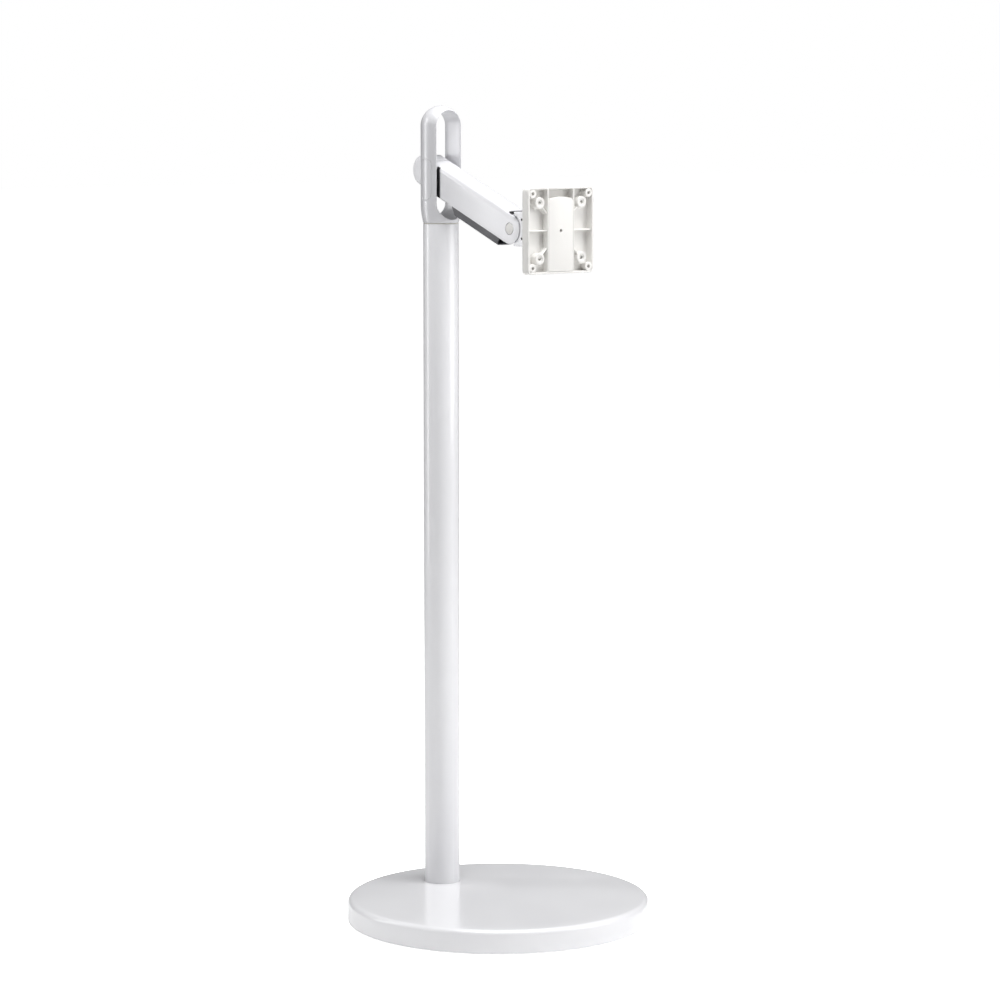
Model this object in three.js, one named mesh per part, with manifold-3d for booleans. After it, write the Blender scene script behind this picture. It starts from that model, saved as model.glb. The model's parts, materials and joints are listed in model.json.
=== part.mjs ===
// Floor-standing display pole: round weighted base, column, swivelling yoke, lifting arm, wrist
// and a square mounting plate with the 75 mm and 100 mm hole patterns. Millimetres, +Z up, front -Y.
import * as THREE from 'three';
import { mergeVertices } from 'three/addons/utils/BufferGeometryUtils.js';
import Module from 'manifold-3d';

const wasm = await Module();
wasm.setup();

// ---- plain numbers
const halfTurn = Math.PI;
const boltSides = 6;
const barSides = 16;
const pinSides = 20;
const capSides = 32;
const roundSides = 40;
const rimSides = 60;
const arcSteps = 16;
const lidSteps = 10;
const cornerSteps = 6;
const wireSides = 5;
const coilSteps = 9;                // per turn of the spring

// ---- driving dimensions
const gap = 0.3;                    // between pieces that touch
const past = 1;                     // how far a cutting tool runs past a face

const baseRadius = 212;
const baseHeight = 33.5;
const baseEdgeRadius = 8;
const shellWall = 1.6;
const skirtLift = 1.2;              // skirt of the base cover above the floor
const footHeight = 4;
const footRadius = 12;
const footCount = 6;
const footInset = 45;                // foot pads' centres inside the rim
const weightThickness = 10;
const spacerInset = 14.5;            // spacer ring inside the column's axis
const spacerWall = 5;
const spacerOpening = 60;           // square way through the spacer for the column flange

const columnOffset = 124.5;           // column axis behind the base centre
const columnRadius = 25;
const columnWall = 2;
const columnTop = 974.6;
const flangeRadius = 46;
const flangeThickness = 8;
const plugHeight = 38;
const boltCount = 3;
const boltCircle = 13;
const boltRadius = 4;
const boltHeadRadius = 6.5;
const boltHeadHeight = 5;
const boltLength = 28;

const bushThickness = 2.9;
const spigotWall = 3.5;
const spigotLength = 110;
const bushLength = 22;
const bushFlange = 0.8;
const clipThickness = 2;
const clipDepth = 1.4;
const clipHeight = 4;               // clip groove above the spigot's end
const grubRadius = 2.7;
const grubDrop = 12;                // grub screw below the column's top

const limbThickness = 6.9;           // thickest place of the yoke's two limbs
const yokeHeight = 163.5;           // from the seam to the crown
const taperHeight = 27;
const taperSteps = 4;
const washerThickness = 2.4;
const slotFloor = 5;                // metal under the slot, above the seam
const lidHalfWidth = 11;            // pivot cover lids
const lidHeight = 58;
const lidCentre = 60.5;             // above the seam
const pocketDepth = 2.9;

const pivotHeight = 65.5;           // arm pivot above the seam
const axleRadius = 6;
const axleBoreRadius = 3.3;
const bushWall = 1.6;
const bushReach = 9;                // length of each axle bush
const pivotScrewHeadRadius = 6;
const pivotScrewHead = 1.9;
const pivotScrewLength = 12;
const washerRadius = 15;

const armTilt = THREE.MathUtils.degToRad(22);
const armLength = 183;
const armHalfWidth = 18.5;
const armHalfHeight = 21;
const armCornerRadius = 9;
const armWall = 3;
const armTail = 20.9;               // centre of the round rear end behind the pivot
const topSkinRear = 5;              // the top skin starts this far behind the pivot
const topSkinFront = 14;            // and stops this far short of the front pin
const sideSkinRear = 19.5;          // level distance from the pivot to the rear edge of the sides
const blockFront = 8;
const tongueHalfWidth = 13;
const tongueHalfHeight = 13.5;
const tongueFront = 52;
const collarInset = 0.4;
const lipDepth = 2;
const lipRear = 12;
const lipFront = 38;
const skinScrewAt = 42;
const skinScrewRadius = 2.5;
const skinScrewHead = 2.7;
const skinBossHalf = 7;

const springRadius = 8;
const springWire = 1.3;
const springTurns = 9;
const springHeight = 5;             // spring axis above the arm's centre line
const guideRodRadius = 4;
const guideDisc = 4;
const springSeatGap = 33;            // spring seat behind the front pin
const seatThickness = 5;
const adjusterRadius = 3;
const adjusterLength = 20;

const ductHalfWidth = 14.5;         // cable cover under the arm
const ductDepth = 13;
const ductWall = 1.6;
const ductCorner = 4;
const ductRear = 52;
const ductFrontGap = 19;             // cable cover ends this far short of the front pin
const ductRearSlant = 12;
const ductFrontSlant = 2;
const ductRise = 6;                 // how far its walls stand up inside the arm

const pinRadius = 5;
const capRadius = 7.6;
const capThickness = 1.4;
const capGap = 0.8;                 // ring left open round a pin cap
const sealInset = 1.5;              // strip across the top skin's front, inside its walls
const sealDepth = 1.3;
const sealOver = 2.1;               // its edges over and under the skin's inner face
const sealUnder = 0.4;
const capRecess = 1.5;

const drumClearance = 1.8;           // drum inside the arm's half height
const tiltWasher = 1;
const tiltWasherRadius = 12;
const knuckleGap = 1.4;             // between the arm's round end and the knuckle
const knuckleOver = 2.5;             // knuckle above and below the arm's end
const knuckleRear = 9;
const knuckleScrewRadius = 1.7;
const knuckleScrewDepth = 6;
const knuckleScrewHeight = 13;
const knuckleScrewAt = 26;
const screwSink = 0.5;

const panOffset = 52;               // pan axis in front of the tilt pin
const panPinRadius = 4;
const panHeadRadius = 6.5;
const panHead = 2.5;
const lugRadius = 10;
const lugThickness = 9;
const lugInner = 12;
const hubRadius = 9.3;
const hubNeckHalfWidth = 6;
const discRadius = 24;
const discThickness = 5;
const discStart = 12;               // back of the disc in front of the pan axis
const ringThickness = 1;
const spindleRadius = 6;
const spindleLength = 10;

const plateHalf = 58.5;
const plateDepth = 13;
const plateFloor = 2.5;
const plateRim = 2.8;
const plateCorner = 6;
const plateBoss = 2.7;              // height of the round boss on the plate's back
const socketRadius = 13;
const socketHeight = 5.4;
const outerHole = 50;               // 100 x 100 pattern
const innerHole = 37.5;             // 75 x 75 pattern
const holeRadius = 2.4;
const outerBossRadius = 6;
const innerBossRadius = 8;
const ribThickness = 1.8;
const ribDrop = 2;                  // cross ribs below the rim
const centreHalfWidth = 22;
const centreRise = 42;
const archRise = 3;
const centreSkin = 2;
const centreWall = 1.5;
const keyHoleRadius = 2.2;
const retainerRadius = 9;
const retainerThickness = 1.5;
const spindleScrewRadius = 2;
const spindleScrewHead = 2.2;

// ---- places worked out from them
const weightBottom = footHeight + gap;
const weightTop = weightBottom + weightThickness;
const flangeTop = weightTop + gap + flangeThickness;
const footCircle = baseRadius - footInset;
const spacerRadius = columnOffset - spacerInset;
const columnBore = columnRadius - columnWall;
const spigotRadius = columnBore - bushThickness - 2 * gap;
const slotHalfWidth = armHalfWidth + washerThickness + 2 * gap;
const yokeRadius = slotHalfWidth + limbThickness;
const seam = columnTop + bushFlange + 2 * gap;
const domeZ = seam + yokeHeight - yokeRadius;
const slotFootZ = seam + slotFloor + slotHalfWidth;
const lidZ = seam + lidCentre;
const pivotZ = seam + pivotHeight;
const innerHalfWidth = armHalfWidth - armWall;
const innerTop = armHalfHeight - armWall - gap;
const ductFront = armLength - ductFrontGap;
const springSeatAt = armLength - springSeatGap;
const drumRadius = armHalfHeight - drumClearance;
const knuckleHalfHeight = armHalfHeight + knuckleOver;
const knuckleFront = panOffset - lugRadius - 1;
const lugOuter = lugInner + lugThickness;
const discFace = discStart + discThickness;
const plateStart = discFace + 2 * gap + ringThickness + plateBoss;
const plateFront = plateStart + plateDepth;

// ---- solids
function ordered(first, second) {
  return [Math.min(first, second), Math.max(first, second)];
}

function solid(geometry) {
  const bare = geometry.clone();
  bare.deleteAttribute('normal');
  bare.deleteAttribute('uv');
  const merged = mergeVertices(bare, 1e-4);
  const corners = merged.index.array;
  const kept = [];
  for (let i = 0; i < corners.length; i += 3) {
    const [a, b, c] = [corners[i], corners[i + 1], corners[i + 2]];
    if (a !== b && b !== c && c !== a) kept.push(a, b, c);
  }
  return new wasm.Manifold(new wasm.Mesh({
    numProp: 3,
    vertProperties: new Float32Array(merged.attributes.position.array),
    triVerts: new Uint32Array(kept),
  }));
}

function surface(body) {
  const mesh = body.getMesh();
  const geometry = new THREE.BufferGeometry();
  const places = new Float32Array(mesh.vertProperties);
  geometry.setAttribute('position', new THREE.BufferAttribute(places, 3));
  geometry.setIndex(new THREE.BufferAttribute(new Uint32Array(mesh.triVerts), 1));
  return geometry;
}

// Distances forward are positive towards the front, which is -Y.
function block(x0, x1, f0, f1, z0, z1) {
  const geometry = new THREE.BoxGeometry(x1 - x0, f1 - f0, z1 - z0);
  return solid(geometry.translate((x0 + x1) / 2, -(f0 + f1) / 2, (z0 + z1) / 2));
}

// Round bar along x, forward or z between two stations; 'at' holds the other two places.
function bar(axis, radius, from, to, [u, v] = [0, 0], sides = barSides) {
  const geometry = new THREE.CylinderGeometry(radius, radius, to - from, sides);
  geometry.translate(0, (from + to) / 2, 0);
  if (axis === 'x') return solid(geometry.rotateZ(-halfTurn / 2).translate(0, -u, v));
  if (axis === 'forward') return solid(geometry.rotateZ(halfTurn).translate(u, 0, v));
  return solid(geometry.rotateX(halfTurn / 2).translate(u, -v, 0));
}

function ring(axis, outer, inner, from, to, at, sides = barSides) {
  const bore = bar(axis, inner, from - past, to + past, at, sides);
  return bar(axis, outer, from, to, at, sides).subtract(bore);
}

// Profile of [radius, height] points turned about the Z axis.
function turned(points, sides = roundSides) {
  const profile = points.map(([r, z]) => new THREE.Vector2(r, z));
  const geometry = new THREE.LatheGeometry(profile, sides);
  return solid(geometry.rotateX(halfTurn / 2));
}

// Outline of [forward, height] points carried across from x0 to x1.
function sideways(shape, x0, x1) {
  const geometry = new THREE.ExtrudeGeometry(shape, { depth: x1 - x0, bevelEnabled: false });
  const place = new THREE.Matrix4().set(0, 0, -1, x1, -1, 0, 0, 0, 0, 1, 0, 0, 0, 0, 0, 1);
  return solid(geometry.applyMatrix4(place));
}

// Outline of [x, height] points carried forward from f0 to f1.
function forwards(shape, f0, f1) {
  const geometry = new THREE.ExtrudeGeometry(shape, { depth: f1 - f0, bevelEnabled: false });
  const place = new THREE.Matrix4().set(1, 0, 0, 0, 0, 0, -1, -f0, 0, 1, 0, 0, 0, 0, 0, 1);
  return solid(geometry.applyMatrix4(place));
}

function outline(points) {
  return new THREE.Shape(points.map(([x, y]) => new THREE.Vector2(x, y)));
}

function arcPoints([x, y], radius, from, to, steps) {
  return Array.from({ length: steps + 1 }, (_, i) => {
    const angle = from + (to - from) * i / steps;
    return [x + radius * Math.cos(angle), y + radius * Math.sin(angle)];
  });
}

// Rectangle with a radius at its two upper and its two lower corners (0 leaves them sharp).
function rectangle(half, bottom, top, upperRadius, lowerRadius, steps = cornerSteps) {
  const corner = (x, y, radius, from) => {
    if (radius <= 0) return [[x, y]];
    const centre = [x - Math.sign(x) * radius, y + (y === top ? -radius : radius)];
    return arcPoints(centre, radius, from, from + halfTurn / 2, steps);
  };
  return outline([
    ...corner(half, bottom, lowerRadius, -halfTurn / 2),
    ...corner(half, top, upperRadius, 0),
    ...corner(-half, top, upperRadius, halfTurn / 2),
    ...corner(-half, bottom, lowerRadius, halfTurn),
  ]);
}

// Upright outline with half-round ends, given the centres of its two ends.
function stadium(half, lower, upper, steps = arcSteps) {
  return outline([
    ...arcPoints([0, upper], half, 0, halfTurn, steps),
    ...arcPoints([0, lower], half, halfTurn, 2 * halfTurn, steps),
  ]);
}

const finishes = {
  paint: { color: 0xe4e4e6, roughness: 0.3, metalness: 0.0 },
  moulding: { color: 0xececea, roughness: 0.45, metalness: 0.0 },
  black: { color: 0x1b1b1c, roughness: 0.55, metalness: 0.0 },
  graphite: { color: 0x55565a, roughness: 0.5, metalness: 0.0 },
  rubber: { color: 0x2a2a2b, roughness: 0.9, metalness: 0.0 },
  steel: { color: 0xb9babd, roughness: 0.35, metalness: 1.0 },
  iron: { color: 0x55565a, roughness: 0.75, metalness: 0.6 },
  nylon: { color: 0xd9d8d2, roughness: 0.6, metalness: 0.0 },
};

function add(parent, name, body, finish) {
  const mesh = new THREE.Mesh(surface(body), new THREE.MeshStandardMaterial(finishes[finish]));
  mesh.name = name;
  parent.add(mesh);
}

function nested(parent, forward, height, tilt = 0) {
  const child = new THREE.Group();
  child.position.set(0, -forward, height);
  child.rotation.x = tilt;
  parent.add(child);
  return child;
}

// ---- base: its own group, origin on the floor under its centre
function buildBase(base) {
  const edge = [baseRadius - baseEdgeRadius, baseHeight - baseEdgeRadius];
  const innerTopZ = baseHeight - shellWall;
  const shell = turned([
    [0, innerTopZ],
    ...arcPoints(edge, baseEdgeRadius - shellWall, halfTurn / 2, 0, 2),
    [baseRadius - shellWall, skirtLift],
    [baseRadius, skirtLift],
    ...arcPoints(edge, baseEdgeRadius, 0, halfTurn / 2, 4),
    [0, baseHeight],
  ], rimSides);
  const columnPlace = [0, -columnOffset];
  const way = bar('z', columnRadius + gap, 0, baseHeight + past, columnPlace, roundSides);
  add(base, 'base_cover', shell.subtract(way), 'paint');

  const weightRadius = baseRadius - shellWall - gap;
  let weight = turned([[0, weightBottom], [weightRadius, weightBottom],
    [weightRadius, weightTop], [0, weightTop]], rimSides);
  boltPlaces().forEach((at) => {
    weight = weight.subtract(bar('z', boltRadius + gap, 0, weightTop + past, at));
    weight = weight.subtract(bar('z', boltHeadRadius + gap, 0, weightBottom + boltHeadHeight + gap, at));
  });
  add(base, 'base_weight', weight, 'iron');

  const spacer = ring('z', spacerRadius, spacerRadius - spacerWall, weightTop + gap, innerTopZ - gap,
    [0, 0], roundSides);
  const flangeEdge = -columnOffset + flangeRadius + past;
  const flangeWay = block(-spacerOpening, spacerOpening, -baseRadius, flangeEdge, 0, baseHeight);
  add(base, 'base_spacer', spacer.subtract(flangeWay), 'moulding');

  for (let i = 0; i < footCount; i += 1) {
    const angle = 2 * halfTurn * (i + 0.5) / footCount;
    const at = [footCircle * Math.cos(angle), footCircle * Math.sin(angle)];
    add(base, `foot_pad_${i + 1}`, bar('z', footRadius, 0, footHeight, at), 'rubber');
  }
}

function boltPlaces() {
  return Array.from({ length: boltCount }, (_, i) => {
    const angle = halfTurn / 2 + 2 * halfTurn * i / boltCount;
    return [boltCircle * Math.cos(angle), boltCircle * Math.sin(angle) - columnOffset];
  });
}

// ---- column and what it holds, axis on the group's Z axis
function buildColumn(column) {
  const bottom = flangeTop + gap;
  const grubHeight = columnTop - grubDrop;
  const grubHole = bar('forward', grubRadius + gap, -columnRadius - past, 0, [0, grubHeight]);
  const pipe = ring('z', columnRadius, columnBore, bottom, columnTop, [0, 0], roundSides);
  add(column, 'column_tube', pipe.subtract(grubHole), 'paint');

  let foot = turned([
    [0, weightTop + gap], [flangeRadius, weightTop + gap], [flangeRadius, flangeTop],
    [columnBore - gap, flangeTop], [columnBore - gap, flangeTop + plugHeight], [0, flangeTop + plugHeight],
  ]);
  boltPlaces().forEach(([x, forward], i) => {
    const at = [x, forward + columnOffset];
    const tip = weightBottom + boltHeadHeight + boltLength;
    foot = foot.subtract(bar('z', boltRadius + gap, 0, tip + past, at));
    const head = bar('z', boltHeadRadius, weightBottom, weightBottom + boltHeadHeight, at, boltSides);
    const shank = bar('z', boltRadius, weightBottom + past, tip, at);
    add(column, `column_bolt_${i + 1}`, head.add(shank), 'steel');
  });
  add(column, 'column_foot', foot, 'steel');

  const bushOuter = columnBore - gap;
  const bushInner = spigotRadius + gap;
  const flangeBottom = columnTop + gap;
  const upper = turned([
    [bushInner, columnTop - bushLength], [bushOuter, columnTop - bushLength], [bushOuter, flangeBottom],
    [columnRadius - gap, flangeBottom], [columnRadius - gap, flangeBottom + bushFlange],
    [bushInner, flangeBottom + bushFlange], [bushInner, columnTop - bushLength],
  ]);
  add(column, 'swivel_bush_upper', upper.subtract(grubHole), 'nylon');
  const clipTop = seam - spigotLength + clipHeight + clipThickness;
  const lowerBottom = clipTop + past;
  const lower = ring('z', bushOuter, bushInner, lowerBottom, lowerBottom + bushLength, [0, 0], roundSides);
  add(column, 'swivel_bush_lower', lower, 'nylon');
  const grub = bar('forward', grubRadius, -columnRadius + gap, -spigotRadius - gap, [0, grubHeight]);
  add(column, 'swivel_grub_screw', grub, 'steel');
}

// ---- yoke: turns on the column, same group origin and axis as the column
function buildYoke(head) {
  const bore = spigotRadius - spigotWall;
  const spigotFoot = seam - spigotLength;
  const grooveBottom = spigotFoot + clipHeight;
  const grooveTop = grooveBottom + clipThickness + gap;
  const taper = Array.from({ length: taperSteps + 1 }, (_, i) => {
    const rise = i / taperSteps;
    const swell = (yokeRadius - columnRadius) * (1 - (1 - rise) ** 2);
    return [columnRadius + swell, seam + taperHeight * rise];
  });
  let yoke = turned([
    [0, seam - spigotWall], [bore, seam - spigotWall], [bore, spigotFoot], [spigotRadius, spigotFoot],
    [spigotRadius, grooveBottom], [spigotRadius - clipDepth, grooveBottom],
    [spigotRadius - clipDepth, grooveTop], [spigotRadius, grooveTop],
    [spigotRadius, seam], ...taper,
    ...arcPoints([0, domeZ], yokeRadius, 0, halfTurn / 2, arcSteps / 2),
  ]);
  const slot = stadium(slotHalfWidth, slotFootZ, domeZ);
  yoke = yoke.subtract(forwards(slot, -2 * yokeRadius, 2 * yokeRadius));
  const lidOutline = (shrink) => {
    const straight = lidHeight / 2 - lidHalfWidth;
    return stadium(lidHalfWidth - shrink, lidZ - straight, lidZ + straight, lidSteps);
  };
  const lidBack = yokeRadius - pocketDepth;
  const limbBody = bar('z', yokeRadius, lidZ - lidHeight, lidZ + lidHeight, [0, 0], roundSides);
  for (const [side, name] of [[-1, 'left'], [1, 'right']]) {
    const pocketEnds = ordered(side * lidBack, side * 2 * yokeRadius);
    const lidEnds = ordered(side * (lidBack + gap), side * 2 * yokeRadius);
    const headEnds = ordered(side * (slotHalfWidth + past + gap), side * 2 * yokeRadius);
    yoke = yoke.subtract(sideways(lidOutline(0), ...pocketEnds));
    yoke = yoke.subtract(bar('x', axleBoreRadius, ...ordered(0, side * 2 * yokeRadius), [0, pivotZ]));
    yoke = yoke.subtract(bar('x', pivotScrewHeadRadius + gap, ...headEnds, [0, pivotZ]));
    add(head, `pivot_lid_${name}`, limbBody.intersect(sideways(lidOutline(gap), ...lidEnds)), 'paint');
    const headTop = lidBack - gap / 2;
    const headEnd = ordered(side * (headTop - pivotScrewHead), side * headTop);
    const shank = ordered(side * pivotScrewLength, side * (headTop - past));
    const screw = bar('x', pivotScrewHeadRadius, ...headEnd, [0, pivotZ])
      .add(bar('x', axleBoreRadius - gap, ...shank, [0, pivotZ]));
    add(head, `pivot_screw_${name}`, screw, 'steel');
    const washer = ordered(side * (armHalfWidth + gap), side * (slotHalfWidth - gap));
    const friction = ring('x', washerRadius, axleRadius + gap, ...washer, [0, pivotZ]);
    add(head, `friction_washer_${name}`, friction, 'black');
  }
  add(head, 'yoke', yoke, 'paint');
  const axleEnd = slotHalfWidth - gap;
  const axle = ring('x', axleRadius, axleBoreRadius, -axleEnd, axleEnd, [0, pivotZ]);
  add(head, 'pivot_axle', axle, 'steel');
  const clipBottom = grooveBottom + gap / 2;
  const clip = ring('z', spigotRadius + clipDepth, spigotRadius - clipDepth + gap, clipBottom,
    clipBottom + clipThickness, [0, 0], roundSides);
  const clipMouth = block(-clipHeight, clipHeight, 0, 2 * spigotRadius,
    grooveBottom - past, grooveTop + past);
  add(head, 'spigot_clip', clip.subtract(clipMouth), 'steel');
}

// ---- arm: origin at its pivot, forward along its length
function armSection() {
  return rectangle(armHalfWidth, -armHalfHeight, armHalfHeight, armCornerRadius, 0);
}

// Distance along the arm where the sides' upright rear edge crosses the height given.
function sideEdgeAt(height) {
  return (sideSkinRear - height * Math.sin(armTilt)) / Math.cos(armTilt);
}

function buildArmSkin(arm) {
  const profile = outline([
    [sideEdgeAt(-armHalfHeight), -armHalfHeight],
    ...arcPoints([armLength, 0], armHalfHeight, -halfTurn / 2, halfTurn / 2, arcSteps),
    [-topSkinRear, armHalfHeight],
    [-topSkinRear, innerTop + gap],
    [sideEdgeAt(innerTop + gap), innerTop + gap],
  ]);
  const far = armLength + 2 * armHalfHeight;
  const inside = block(-innerHalfWidth, innerHalfWidth, -far, far, -far, innerTop + gap);
  const frontWay = block(-innerHalfWidth, innerHalfWidth, armLength - topSkinFront, far, 0, far);
  let skin = sideways(profile, -armHalfWidth, armHalfWidth)
    .intersect(forwards(armSection(), -far, far))
    .subtract(inside)
    .subtract(frontWay);
  const bossFoot = tongueHalfHeight + gap;
  const boss = block(-skinBossHalf, skinBossHalf, skinScrewAt - skinBossHalf, skinScrewAt + skinBossHalf,
    bossFoot, innerTop + past);
  skin = skin.add(boss)
    .subtract(bar('z', skinScrewRadius + gap, 0, innerTop, [0, skinScrewAt]))
    .subtract(bar('x', pinRadius + gap, -2 * armHalfWidth, 2 * armHalfWidth, [armLength, 0]));
  for (const side of [-1, 1]) {
    const recess = ordered(side * (armHalfWidth - capRecess), side * 2 * armHalfWidth);
    skin = skin.subtract(bar('x', capRadius + capGap, ...recess, [armLength, 0], capSides));
  }
  add(arm, 'arm_skin', skin, 'paint');

  const sealRear = armLength - topSkinFront + gap;
  const sealHalf = innerHalfWidth - sealInset;
  const seal = block(-sealHalf, sealHalf, sealRear, sealRear + sealDepth,
    innerTop - sealUnder, innerTop + sealOver);
  add(arm, 'skin_end_seal', seal, 'black');
}

function buildArmRear(arm) {
  const profile = outline([
    [blockFront, -armHalfHeight],
    [blockFront, innerTop],
    [-topSkinRear - gap, innerTop],
    [-topSkinRear - gap, armHalfHeight],
    ...arcPoints([-armTail, 0], armHalfHeight, halfTurn / 2, 1.5 * halfTurn, arcSteps),
  ]);
  const housing = axleRadius + gap + bushWall;
  const tongue = block(-tongueHalfWidth, tongueHalfWidth, 0, tongueFront,
    -tongueHalfHeight, tongueHalfHeight);
  const rear = sideways(profile, -armHalfWidth, armHalfWidth)
    .intersect(forwards(armSection(), -4 * armTail, 4 * armTail))
    .add(tongue)
    .subtract(bar('x', housing + gap, -armHalfWidth - past, armHalfWidth + past, [0, 0]))
    .subtract(bar('z', skinScrewRadius + gap, -armHalfHeight, armHalfHeight, [0, skinScrewAt]));
  add(arm, 'arm_rear_block', rear, 'paint');
  for (const [side, name] of [[-1, 'left'], [1, 'right']]) {
    const ends = ordered(side * (armHalfWidth - bushReach), side * armHalfWidth);
    const bush = ring('x', housing, axleRadius + gap, ...ends, [0, 0]);
    add(arm, `axle_bush_${name}`, bush, 'nylon');
  }

  const collarHalf = armHalfWidth - collarInset;
  const collarFoot = -armHalfHeight + collarInset;
  const collar = sideways(outline([
    [blockFront + gap, collarFoot],
    [sideEdgeAt(collarFoot) - gap, collarFoot],
    [sideEdgeAt(innerTop) - gap, innerTop],
    [blockFront + gap, innerTop],
  ]), -collarHalf, collarHalf);
  const way = block(-tongueHalfWidth - gap, tongueHalfWidth + gap, 0, tongueFront,
    -tongueHalfHeight - gap, tongueHalfHeight + gap);
  const lipHalf = innerHalfWidth - collarInset;
  const lip = block(-lipHalf, lipHalf, lipRear, lipFront, -armHalfHeight - lipDepth, collarFoot + gap);
  add(arm, 'rear_collar', collar.subtract(way).add(lip), 'black');

  const headTop = -tongueHalfHeight - gap;
  const screw = bar('z', 2 * skinScrewRadius, headTop - skinScrewHead, headTop, [0, skinScrewAt])
    .add(bar('z', skinScrewRadius, headTop - past, innerTop - gap, [0, skinScrewAt]));
  add(arm, 'skin_screw', screw, 'steel');
}

class Helix extends THREE.Curve {
  getPoint(t) {
    const angle = 2 * halfTurn * springTurns * t;
    const start = tongueFront + gap + guideDisc + springWire + gap;
    const end = springSeatAt - springWire - gap;
    return new THREE.Vector3(springRadius * Math.cos(angle), -(start + (end - start) * t),
      springHeight + springRadius * Math.sin(angle));
  }
}

function buildSpring(arm) {
  const wire = outline(arcPoints([0, 0], springWire, 0, 2 * halfTurn, wireSides).slice(0, wireSides));
  const run = { steps: springTurns * coilSteps, extrudePath: new Helix(), bevelEnabled: false };
  const coil = new THREE.ExtrudeGeometry(wire, run);
  add(arm, 'lift_spring', solid(coil), 'steel');

  const discFront = tongueFront + gap + guideDisc;
  const seatRadius = springRadius + springWire;
  const guide = bar('forward', seatRadius, tongueFront + gap, discFront, [0, springHeight])
    .add(bar('forward', guideRodRadius, discFront - past, springSeatAt - adjusterLength,
      [0, springHeight]));
  add(arm, 'spring_guide', guide, 'steel');

  const seatHalf = innerHalfWidth - gap;
  const seatFoot = springHeight - seatRadius;
  const seat = block(-seatHalf, seatHalf, springSeatAt, springSeatAt + seatThickness, seatFoot, innerTop)
    .subtract(bar('forward', adjusterRadius + gap, springSeatAt - past, springSeatAt + 2 * seatThickness,
      [0, springHeight]));
  add(arm, 'spring_seat', seat, 'steel');
  const adjusterStart = springSeatAt + seatThickness - adjusterLength;
  const adjusterHead = springSeatAt + seatThickness + gap;
  const nut = bar('forward', 2 * adjusterRadius, adjusterHead, adjusterHead + adjusterRadius,
    [0, springHeight], boltSides);
  const adjuster = bar('forward', adjusterRadius, adjusterStart + 2 * gap, adjusterHead + past,
    [0, springHeight]).add(nut);
  add(arm, 'spring_adjuster', adjuster, 'steel');
}

function buildCableCover(arm) {
  const top = -armHalfHeight + ductRise;
  const foot = -armHalfHeight - ductDepth;
  const side = outline([
    [ductRear, -armHalfHeight], [ductRear + ductRearSlant, foot],
    [ductFront - ductFrontSlant, foot], [ductFront, -armHalfHeight],
    [ductFront, top], [ductRear, top],
  ]);
  const outside = rectangle(ductHalfWidth, foot, top, 0, ductCorner);
  const inside = rectangle(ductHalfWidth - ductWall, foot + ductWall, top + past, 0, ductCorner - ductWall);
  const duct = forwards(outside, ductRear - past, ductFront + past)
    .subtract(forwards(inside, ductRear - 2 * past, ductFront + 2 * past))
    .intersect(sideways(side, -2 * ductHalfWidth, 2 * ductHalfWidth));
  add(arm, 'cable_cover', duct, 'graphite');
}

function buildFrontPin(arm) {
  const pinEnd = armHalfWidth - capRecess - gap;
  add(arm, 'front_pin', bar('x', pinRadius, -pinEnd, pinEnd, [armLength, 0]), 'steel');
  for (const [side, name] of [[-1, 'left'], [1, 'right']]) {
    const inner = armHalfWidth - capRecess + gap;
    const cap = ordered(side * inner, side * (inner + capThickness));
    add(arm, `pin_cap_${name}`, bar('x', capRadius, ...cap, [armLength, 0], capSides), 'moulding');
    const outer = innerHalfWidth - gap;
    const ends = ordered(side * outer, side * (outer - tiltWasher));
    const washer = ring('x', tiltWasherRadius, pinRadius + gap, ...ends, [armLength, 0]);
    add(arm, `tilt_washer_${name}`, washer, 'black');
  }
}

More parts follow.
